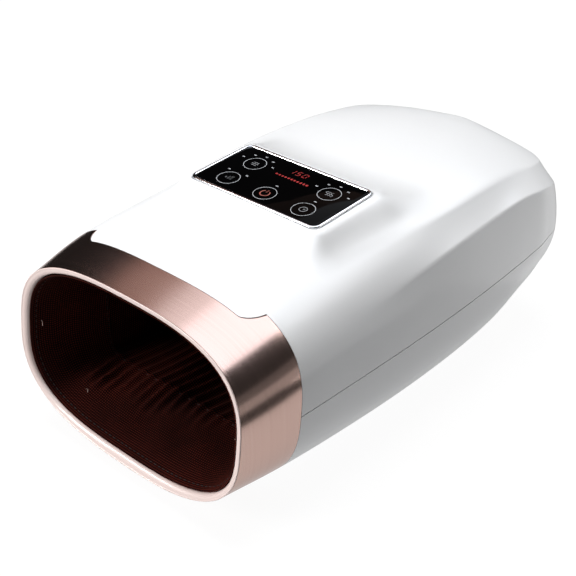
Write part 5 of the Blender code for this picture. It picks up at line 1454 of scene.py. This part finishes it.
    def pleat(self, x: float, y: float, side: float) -> float:
        """How high the gathered cloth stands at a place; side is 1 for the floor and -1 for the ceiling."""
        wander = 0.0011 * sin(y * 62 + x * 21) + 0.0006 * sin(y * 143 + 1.9)
        ridge = 0.5 + 0.5 * sin(2 * pi * (x + wander + 0.1 * max(0.05 - y, 0.0)) / self.pleat_pitch)
        strong = 0.68 + 0.32 * sin(x * 97 + y * 23 + 0.8 * side)
        front = self.pleat_front
        reach = smooth_step((y - front - 0.003 * sin(x * 183 + 0.7) - 0.25 * max(x + 0.04, 0.0)) / 0.012)
        fade = 1 - 0.45 * smooth_step((y - 0.115) / 0.05)
        edge = smooth_step((self.panel_half * self.narrowed(y) - abs(x)) / 0.01)
        hem = smooth_step((self.panel_rear - y) / 0.012)
        return self.pleat_height * ridge ** 1.7 * strong * reach * fade * edge * hem

    def panel_grid(self, level: float, side: float) -> list[Row]:
        """The gathered cloth over one plate, finely divided where it climbs the plate's front edge."""
        rows = []
        front, rear = self.panel_front, self.panel_rear
        for y in divided(front, self.lead_in / 6, front + self.lead_in, self.row_pitch, rear) + [rear]:
            half = self.panel_half * self.narrowed(y)
            row = []
            for column in range(2 * self.half_columns + 1):
                x = half * (column / self.half_columns - 1)
                slack = self.slack * (1 - (x / half) ** 2) * smooth_step((y - front) / 0.02)
                row.append((x, y, level + side * (self.pleat(x, y, side) + slack)))
            rows.append(row)
        return rows

    def along_loop(self, loop: Row, pitch: float, lift: float) -> list[Matrix]:
        """Places for stitches, a pitch apart along a closed loop, turned along it and lifted in from it."""
        points = [Vector(point) for point in loop]
        places, carried = [], 0.0
        for here, there in zip(points, points[1:] + points[:1]):
            reach = (there - here).length
            while carried < reach:
                place = here.lerp(there, carried / reach)
                inward = Vector((-place.x, 0, -place.z)).normalized()
                ahead = (there - here).normalized()
                up = (inward - ahead * inward.dot(ahead)).normalized()
                turn = Matrix((ahead, up.cross(ahead), up)).transposed().to_4x4()
                places.append(Matrix.Translation(place + inward * lift) @ turn)
                carried += pitch
            carried -= reach
        return places

    def loose_threads(self) -> Piece:
        """Short ends of sewing thread at the side seams and on the gathered cloth."""
        strands = []
        for x, y, z, length, turn in self.thread_places:
            route = []
            for step in range(self.thread_steps + 1):
                part = step / self.thread_steps
                curl = sin(pi * part)
                route.append((x + length * part * cos(turn), y + length * 0.3 * curl,
                              z + length * (part * sin(turn) + 0.22 * curl)))
            strands.append(swept("strand", route, self.strand, 6))
        return shade(joined("liner_thread_ends", strands), 70)

    def build(self) -> None:
        """Builds every piece of the lining, seats or bends it, and states the cut of each cloth."""
        bench = self.bench
        grid = self.funnel_grid()
        funnel = self.cloth_from_grid("funnel_cloth", grid, True, False)
        bench.seat(funnel, Slot.FABRIC, ["liner_funnel"])
        thread = bench.paint(THREAD)
        for number, (share, pitch) in enumerate(self.seams, 1):
            name, length = f"funnel_stitches_{number}", pitch * self.stitch_share
            row = Repeater(name, Bead.STITCH, length, *self.stitch_size)
            seam = self.trim.throat(share, GAP + self.seam_inset)
            stitches = row.lay(self.along_loop(seam, pitch, self.stitch_lift), thread)
            bench.seat(stitches, Slot.FABRIC, finish=THREAD)
        ends = self.loose_threads()
        bench.seat(ends, Slot.FABRIC, finish=THREAD_END)
        self.declare(funnel, grid, True)
        grid = self.side_grid()
        sides = self.cloth_from_grid("side_cloth", grid, False, True)
        bench.seat(sides, Slot.FABRIC, ["liner_sides"])
        self.declare(sides, grid, False)
        for name, level, side, carrier, node, plate in (
                ("floor_cloth", self.floor_top, 1, "acupressure_carrier", "liner_floor", "acupressure_plate"),
                ("ceiling_cloth", self.ceiling_low, -1, "press_carrier", "liner_ceiling", "press_plate")):
            grid = self.panel_grid(level, side)
            sheet = self.cloth_from_grid(name, grid, False, side < 0)
            bench.bend(sheet, Slot.FABRIC, ("casing", carrier), (0, self.panel_front, level),
                       (0, self.panel_front + self.lead_in, level), [node])
            self.declare(sheet, grid, False)


# Touch panel


@dataclass
class TouchPanel:
    """The chrome frame, the black glass and what is printed and lit on it."""

    bench: Bench
    place: Matrix
    width: float = 0.084
    depth: float = 0.0422
    corner: float = 0.0025
    thickness: float = 0.002
    rim: float = 0.002
    frame_high: float = 0.0003
    frame_low: float = -0.0027
    key_radius: float = 0.0062
    line: float = 0.00034
    clear: float = 0.00001
    proud: float = 0.00005
    ground_edge: float = 0.00025
    slant: float = 0.18
    digit_line: float = 0.00042
    digit_size: Spot = (0.0024, 0.0036)
    digit_pitch: float = 0.0043
    lamp_size: Spot = (0.0016, 0.00075)
    keys: tuple = ((-0.0259, -0.0119), (-0.0254, 0.0077), (0.0005, -0.0122), (0.0267, -0.0123),
                   (0.027, 0.0072))
    lamp_places: tuple = ((-0.0106, 0.0024), (-0.0065, 0.0073), (0.0, 0.0092), (0.0065, 0.0073),
                          (0.0106, 0.0024))
    lamps_at_key: tuple = ((1, 3), (0, 1, 2, 3, 4), (2,), (2,), (0, 1, 2, 3, 4))

    def frame(self) -> Piece:
        """The frame: a softly crowned bright rim."""
        low, high = self.frame_low, self.frame_high
        profile = ((GAP, low), (GAP, -0.00012), (0.00036, 0.00006), (0.00052, 0.0002), (0.00078, high),
                   (0.00115, high + 0.00003), (0.0015, high), (0.00176, 0.00018), (0.00192, 0.00002),
                   (self.rim, -0.00022), (self.rim, low))
        loops = []
        for out, height in profile:
            outline = rounded_rectangle(self.width + 2 * out, self.depth + 2 * out, self.corner + out, 14)
            loops.append([(x, y, height) for x, y in outline])
        return shade(loft("panel_frame_rim", loops, capped=False), 50)

    def glass(self) -> Piece:
        """The glass, with a fine ground edge."""
        return rounded_prism("touch_glass_plate", self.width, self.depth, self.corner, -self.thickness, 0,
                             self.ground_edge, 12)

    def arc(self, x: float, y: float, radius: float, line: float, start: float = 0.0,
            sweep: float = 2 * pi) -> Piece:
        """A thin raised ring or arc of ink."""
        count = max(8, round(72 * sweep / (2 * pi)))
        full = sweep == 2 * pi
        inner, outer = radius - line / 2, radius + line / 2
        section = ((inner, self.clear), (outer, self.clear), (outer, self.proud), (inner, self.proud))
        loops = []
        for step in range(count if full else count + 1):
            turn = start + sweep * step / count
            loops.append([(x + reach * cos(turn), y + reach * sin(turn), z) for reach, z in section])
        return loft("arc", loops, capped=not full)

    def bar(self, x: float, y: float, length: float, width: float, turn: float = 0.0) -> Piece:
        """A short bar of ink or light."""
        made = rounded_prism("bar", length, width, width * 0.3, self.clear, self.proud, 0.0, 3)
        made.data.transform(Matrix.Translation((x, y, 0)) @ Matrix.Rotation(turn, 4, "Z"))
        return made

    def signs(self) -> list[Piece]:
        """The plain signs in four of the key rings: strength, air, timer and heat."""
        strength, air, _, timer, heat = self.keys
        x, y = strength
        made = [self.bar(x + (step - 1) * 0.0017, y + 0.0004 * step, 0.0007, 0.0016 + 0.0011 * step)
                for step in range(3)]
        x, y = air
        made += [self.bar(x, y + shift, 0.0046 - abs(shift) * 0.8, 0.0005) for shift in (-0.0014, 0, 0.0014)]
        x, y = timer
        made += [self.arc(x, y, 0.0021, 0.0005), self.bar(x, y + 0.0007, 0.0004, 0.0016),
                 self.bar(x + 0.0006, y, 0.0014, 0.0004)]
        x, y = heat
        return made + [self.arc(x + (step - 1) * 0.0016, y + shift, 0.0009, 0.0004, start, pi)
                       for shift, start in ((-0.0008, -pi / 2), (0.001, pi / 2)) for step in range(3)]

    def power_sign(self) -> list[Piece]:
        """The power key's sign: an open ring and a bar."""
        x, y = self.keys[2]
        return [self.arc(x, y, 0.0026, 0.0006, pi / 2 + 0.6, 2 * pi - 1.2),
                self.bar(x, y + 0.0022, 0.0005, 0.0024)]

    def digit(self, x: float, y: float, lit: Sequence[int]) -> list[Piece]:
        """One digit round its middle, made of those of its seven bars that glow, the top one being bar 0."""
        (width, height), line = self.digit_size, self.digit_line
        half_w, half_h = width / 2, height / 2
        bars = ((0, half_h), (half_w, half_h / 2), (half_w, -half_h / 2), (0, -half_h),
                (-half_w, -half_h / 2), (-half_w, half_h / 2), (0, 0))
        made = []
        for dx, dy in (bars[number] for number in lit):
            length, turn = (half_h, pi / 2 - self.slant) if dx else (width, 0.0)
            made.append(self.bar(x + dx + dy * self.slant, y + dy, length - line * 0.9, line, turn))
        return made

    def display(self) -> list[Piece]:
        """Lit digits and, below them, a row of level bars."""
        made = []
        for step, lit in enumerate(((1, 2), (0, 2, 3, 5, 6), (0, 1, 2, 3, 4, 5))):
            made += self.digit(-0.0034 + step * self.digit_pitch, 0.0136, lit)
        return made + [self.bar(-0.0088 + step * 0.0021, 0.0068, 0.0013, 0.0011 + 0.00006 * step)
                       for step in range(11)]

    def lamps(self) -> list[Matrix]:
        """Where the small lamps stand."""
        return [Matrix.Translation((x + dx, y + dy, self.proud / 2))
                for (x, y), marks in zip(self.keys, self.lamps_at_key)
                for dx, dy in (self.lamp_places[mark] for mark in marks)]

    def build(self) -> None:
        """Builds and seats the panel."""
        bench, place = self.bench, SEAT @ self.place
        bench.seat(self.frame(), Slot.CHROME, ["panel_frame"], place=place)
        bench.seat(self.glass(), Slot.GLASS, ["touch_glass"], place=place)
        rings = [self.arc(x, y, self.key_radius, self.line) for x, y in self.keys]
        for name, parts, finish in (
                ("key_rings", rings, PRINT_INK), ("key_signs", self.signs(), PRINT_DIM),
                ("power_sign", self.power_sign(), POWER_MARK), ("display_bars", self.display(), LAMP_RED)):
            bench.seat(shade(joined(name, parts), 30), Slot.GLASS, finish=finish, place=place)
        row = Repeater("lamp_marks", Bead.BAR, *self.lamp_size, self.proud)
        bench.seat(row.lay(self.lamps(), bench.paint(PRINT_INK)), Slot.GLASS, finish=PRINT_INK, place=place)


# Works inside


@dataclass
class SqueezeWorks:
    """The two airbags that drive the plates."""

    bench: Bench
    lining: Lining
    half: float = 0.0508
    weld: float = 0.0024
    film: float = 0.0002
    crown: float = 0.012
    fill: float = 0.7

    def bag(self, name: str, node: str) -> Piece:
        """A crowned bag with a flat welded edge all round."""
        low, high = node_box(node)
        middle, rise = (low.z + high.z) / 2, (high.z - low.z) / 2
        rows, columns, film = 45, 31, self.film
        points = []
        for side in (1, -1):
            for row in range(rows):
                y = low.y + (high.y - low.y) * row / (rows - 1)
                half = self.half * self.lining.narrowed(y)
                for column in range(columns):
                    x = half * (2 * column / (columns - 1) - 1)
                    inset = min(half - abs(x), y - low.y, high.y - y) - self.weld
                    swell = min(max(inset / self.crown, 0.0), 1.0)
                    height = film + (rise - film) * (1 - (1 - swell) ** 2.4) ** 0.5 if inset > 0 else film
                    points.append((x, y, middle + side * height))
        block = rows * columns
        top = quads(rows, columns, False)
        faces = top + [tuple(block + corner for corner in reversed(face)) for face in top]
        rim = list(range(columns - 1)) + list(range(columns - 1, block - 1, columns))
        rim += list(range(block - 1, block - columns, -1)) + list(range(block - columns, 0, -columns))
        for here, there in zip(rim, rim[1:] + rim[:1]):
            faces.append((block + here, block + there, there, here))
        return shade(outward(mesh_object(name, points, faces)), 60)

    def build(self) -> None:
        for name, node, carrier, driven_low in (("upper_bag", "upper_airbag", "press_carrier", True),
                                                ("lower_bag", "lower_airbag", "acupressure_carrier", False)):
            low, high = node_box(node)
            start, end = (high.z, low.z) if driven_low else (low.z, high.z)
            bag = self.bag(name, node)
            self.bench.bend(bag, Slot.BAG, ("casing", carrier), (0, low.y, start), (0, low.y, end), [node])


@dataclass
class AirWorks:
    """Hoses and valve springs."""

    bench: Bench
    works_y: float = 0.218
    tunnel_rear: float = 0.1853
    valve_z: float = -0.0329 + 0.022 * 0.6
    valve_reach: float = 0.007
    port: float = 0.0053
    hose_radius: float = 0.0022
    spring_wire: float = 0.0003
    spring_turns: int = 4
    turn_steps: int = 22
    flat_steps: int = 16

    def route(self, guides: Sequence[Point], steps: int = 34) -> Row:
        """Points along a smooth curve steered by guides, with a straight stub at each end."""
        first, last = Vector(guides[0]), Vector(guides[-1])
        start = first + (Vector(guides[1]) - first).normalized() * self.hose_radius
        end = last + (Vector(guides[-2]) - last).normalized() * self.hose_radius
        steered = [tuple(start), *guides[1:-1], tuple(end)]
        route = [tuple(first)]
        for step in range(steps + 1):
            row = steered
            while len(row) > 1:
                row = [mix(near, far, step / steps) for near, far in zip(row, row[1:])]
            route.append(row[0])
        return route + [tuple(last)]

    def hoses(self) -> None:
        """Three hoses: pump to manifold, and each valve to its half of the tunnel."""
        y, radius = self.works_y, self.hose_radius
        low, high = node_box("pump_hose")
        outlet = node_box("pump_cover")[1].z + GAP
        left, right, crest = low.x + radius, high.x - radius, max(high.z + 0.0032, outlet + 0.014)
        runs = {"pump_hose": [(left, y, low.z), (left, y, crest), (right, y, crest), (right, y, outlet)]}
        start, end, z = y - self.valve_reach - self.port, self.tunnel_rear + self.port, self.valve_z
        for name, x, port_x, port_z, dips in (("upper_hose", -0.02525, -0.0211, 0.0279, False),
                                              ("lower_hose", -0.03975, 0.0211, -0.0246, True)):
            half_way, dip = (start + end) / 2, min(port_z, z) - 0.009
            sag = [(x, half_way, dip), (port_x, half_way, dip)] if dips else []
            runs[name] = [(x, start, z), (x, start - 0.01, z), *sag, (port_x, end + 0.01, port_z),
                          (port_x, end, port_z)]
        for name, guides in runs.items():
            made = shade(swept(name + "_tube", self.route(guides), radius, 18), 60)
            self.bench.seat(made, Slot.HOSE, [name])

    def springs(self) -> None:
        """Each valve's spring, held between its body and its plunger."""
        for number, carrier in ((1, "plunger_left"), (2, "plunger_right")):
            node = f"valve_spring_{number}"
            low, high = node_box(node)
            x, y = (low.x + high.x) / 2, (low.y + high.y) / 2
            radius = (high.x - low.x) / 2 - self.spring_wire
            base, wound = low.z + self.spring_wire, high.z - low.z - 2 * self.spring_wire
            count = self.spring_turns * self.turn_steps
            route = []
            for step in range(count + 1):
                turn = 2 * pi * step / self.turn_steps
                part = min(max((step - self.flat_steps) / (count - 2 * self.flat_steps), 0.0), 1.0)
                route.append((x + radius * cos(turn), y + radius * sin(turn), base + wound * part))
            made = shade(swept(f"valve_coil_{number}", route, self.spring_wire, 8), 60)
            self.bench.bend(made, Slot.STEEL, ("casing", carrier), (x, y, base), (x, y, base + wound), [node])

    def build(self) -> None:
        """Builds and seats the hoses and springs."""
        self.hoses()
        self.springs()


@dataclass
class Underside:
    """Rubber feet and the charging socket."""

    bench: Bench
    casing: Casing
    foot_radius: float = 0.008
    foot_height: float = 0.0051
    socket_wall: float = 0.0005

    def foot(self, number: int, place: Spot) -> Piece:
        """A foot with a rounded edge and a ring groove in its tread."""
        top, edge = self.foot_height, self.foot_radius
        profile = [(0, top), (edge, top), (edge, 0.0011), (edge - 0.0002, 0.0005), (edge - 0.0006, 0.00012),
                   (edge - 0.0011, 0), (0.0056, 0), (0.0053, 0.0005), (0.0047, 0.0005), (0.0044, 0),
                   (0.0022, 0), (0.0019, 0.0004), (0, 0.0004)]
        return shade(turned(f"foot_pad_{number}", profile, (*place, -AXIS_HEIGHT), 56), 38)

    def socket(self) -> tuple[Piece, Piece, Piece]:
        """The socket's shell, its tongue and the tongue's contacts."""
        low, high = node_box("charge_socket")
        width, height, depth = high.x - low.x, high.z - low.z, high.y - low.y
        middle, wall = (low.z + high.z) / 2, self.socket_wall
        ends = []
        for inset, y in ((0, low.y), (0, high.y - 0.0002), (0.0001, high.y), (wall - 0.0001, high.y),
                         (wall, high.y - 0.0002), (wall, low.y + 0.0015)):
            corner = height / 2 - inset - 0.00005
            outline = rounded_rectangle(width - 2 * inset, height - 2 * inset, corner, 10)
            ends.append([(x, y, middle + z) for x, z in outline])
        shell = shade(loft("charge_socket_shell", ends), 50)
        tongue = rounded_prism("charge_socket_tongue", width - height, 0.0008, 0.0003, low.y + 0.0014,
                               high.y - 0.0012, steps=4)
        tongue.data.transform(Matrix.Translation((0, 0, middle)) @ UPRIGHT @ Matrix.Scale(-1, 4, (0, 0, 1)))
        outward(tongue)
        row = Repeater("charge_socket_contacts", Bead.BAR, 0.0003, depth * 0.45, 0.00008)
        y = high.y - 0.0012 - depth * 0.24
        places = [Matrix.Translation(((step - 3.5) * 0.0006, y, middle + side * 0.00042))
                  for step in range(8) for side in (-1, 1)]
        return shell, tongue, row.lay(places, self.bench.paints[Slot.CHROME])

    def build(self) -> None:
        """Builds and seats the feet and the socket."""
        for number, place in enumerate(self.casing.foot_places(), 1):
            self.bench.seat(self.foot(number, place), Slot.RUBBER, [f"foot_{number}"])
        shell, tongue, contacts = self.socket()
        self.bench.seat(shell, Slot.STEEL, ["charge_socket"])
        self.bench.seat(tongue, Slot.BLACK)
        self.bench.seat(contacts, Slot.CHROME)


# Studio


@dataclass(frozen=True)
class SoftBox:
    """A soft studio light."""

    name: str
    place: Point
    aim: Point
    size: Spot
    power: float
    glossy: bool = True
    diffuse: bool = True
    tone: Colour = (1.0, 1.0, 1.0)

    def hang(self) -> None:
        """Hangs the light."""
        lamp = bpy.data.lights.new(self.name, "AREA")
        lamp.shape = "RECTANGLE"
        lamp.size, lamp.size_y = self.size
        lamp.energy = self.power
        lamp.color = self.tone
        made = linked(self.name, lamp)
        made.visible_glossy = self.glossy
        made.visible_diffuse = self.diffuse
        made.location = self.place
        made.rotation_euler = (Vector(self.aim) - Vector(self.place)).to_track_quat("-Z", "Y").to_euler()


@dataclass(frozen=True)
class Paper:
    """A sheet of studio paper that glows a little by itself.

    Paper that the camera sees is left out of reflections, and the other way round. Only paper that lights
    also brightens matt surfaces.
    """

    name: str
    corners: tuple[Point, ...]
    tone: float
    glow: float
    seen: bool = False
    lights: bool = False

    def lay(self) -> None:
        """Lays or stands the sheet."""
        made = mesh_object(self.name, self.corners, [(0, 1, 2, 3)])
        shading = Shading(self.name + "_paper", (self.tone, self.tone, self.tone), 0.9)
        shading.fix("Specular IOR Level", 0.0)
        shading.fix("Emission Color", (1.0, 1.0, 1.0, 1.0))
        shading.fix("Emission Strength", self.glow)
        made.data.materials.append(shading.material)
        made.visible_camera = self.seen
        made.visible_glossy = not self.seen
        made.visible_diffuse = made.visible_transmission = made.visible_shadow = self.lights


def level_corners(low: Spot, high: Spot, z: float, high_x: Optional[float] = None) -> tuple[Point, ...]:
    """Corners of a level sheet; high_x draws its last corner in or out."""
    return (*low, z), (high[0], low[1], z), (*high, z), (low[0] if high_x is None else high_x, high[1], z)


PAPERS = (
    Paper("studio_floor", level_corners((-4.0, -4.0), (4.0, 4.0), 0), 0.1, 0.93, seen=True),
    Paper("studio_bounce", level_corners((-1.0, -1.0), (0.25, 0.25), -0.0005), 0.14, 0.56, lights=True),
    Paper("studio_glow", level_corners((0.08, 0.14), (0.8, 0.9), -0.00025, 0.0), 0.14, 1.15, lights=True),
    Paper("studio_flag", ((-0.45, -0.35, 0), (-0.3, 1.3, 0), (-0.3, 1.3, 0.5), (-0.45, -0.35, 0.5)), 0.01,
          0.005),
)
SOFT_BOXES = (
    SoftBox("key_box", (-0.18, 0.15, 1.3), (0.0, 0.05, 0.06), (0.9, 0.9), 15.7, glossy=False),
    SoftBox("overhead_box", (0, 0.25, 1.05), (0, 0.25, 0), (0.9, 2.6), 15.0, True, False, (0.93, 1.0, 1.11)),
    SoftBox("left_box", (-0.6, 0.25, 1.05), (-0.6, 0.25, 0), (0.3, 2.6), 2.8, True, False, (0.97, 1.0, 1.06)),
    SoftBox("far_left_box", (-0.88, 0.25, 1.05), (-0.88, 0.25, 0), (0.26, 2.6), 0.75, True, False,
            (1.0, 0.6, 0.48)),
    SoftBox("low_card", (1.2, 0.35, 0.1), (0.0, 0.0, 0.06), (1.8, 0.28), 0.63, diffuse=False),
    SoftBox("mid_card", (1.15, 0.35, 0.39), (0.0, 0.0, 0.06), (1.8, 0.38), 0.235, diffuse=False),
    SoftBox("front_box", (-0.7, -1.1, 0.5), (0.0, -0.1, 0.02), (0.5, 0.5), 16),
    SoftBox("tail_box", (0.42, 1.0, 1.45), (0.0, 0.1, 0.06), (0.9, 0.6), 6),
)


@dataclass
class Studio:
    """A plain pale floor, soft lights and the camera at the photograph's angle."""

    eye: Point = (0.3627, -0.4239, 0.3832)
    back: Point = (0.5757, -0.6304, 0.5208)
    right: Point = (0.7384, 0.6743, 0.0)
    up: Point = (-0.3512, 0.3846, 0.8537)
    lens: float = 71.875
    air_level: float = 0.03

    def air(self) -> None:
        """Dim surroundings that look white behind the floor's edge."""
        world = bpy.data.worlds.new("studio_air")
        world.use_nodes = True
        tree = world.node_tree
        path = tree.nodes.new("ShaderNodeLightPath")
        level = tree.nodes.new("ShaderNodeMapRange")
        level.inputs["To Min"].default_value = self.air_level
        level.inputs["To Max"].default_value = 1.0
        tree.links.new(path.outputs["Is Camera Ray"], level.inputs["Value"])
        tree.links.new(level.outputs[0], tree.nodes["Background"].inputs["Strength"])
        tree.nodes["Background"].inputs["Color"].default_value = (1.0, 1.0, 1.0, 1.0)
        bpy.context.scene.world = world
        bpy.context.scene.view_settings.view_transform = "Standard"

    def camera(self) -> None:
        """Sets the camera."""
        lens = bpy.data.cameras.new("photo_camera")
        lens.lens = self.lens
        lens.sensor_width = 36.0
        lens.clip_start, lens.clip_end = 0.02, 20.0
        made = linked("photo_camera", lens)
        turn = Matrix((self.right, self.up, self.back)).transposed()
        made.matrix_world = Matrix.Translation(self.eye) @ turn.to_4x4()
        bpy.context.scene.camera = made

    def build(self) -> None:
        """Sets up the studio."""
        self.camera()
        for paper in PAPERS:
            paper.lay()
        for box in SOFT_BOXES:
            box.hang()
        self.air()


def main() -> None:
    """Builds the studio and every sub-assembly, in order."""
    logging.basicConfig(level=logging.INFO, format="%(message)s")
    Studio().build()
    bench, form = Bench(), BodyForm()
    bench.repaint(frame["nodes"])
    casing, trim = Casing(form, bench), MouthTrim(form, bench)
    lining = Lining(trim, bench)
    for part in (casing, trim, lining, TouchPanel(bench, casing.panel_frame()), SqueezeWorks(bench, lining),
                 AirWorks(bench), Underside(bench, casing)):
        part.build()


if __name__ == "__main__":
    main()
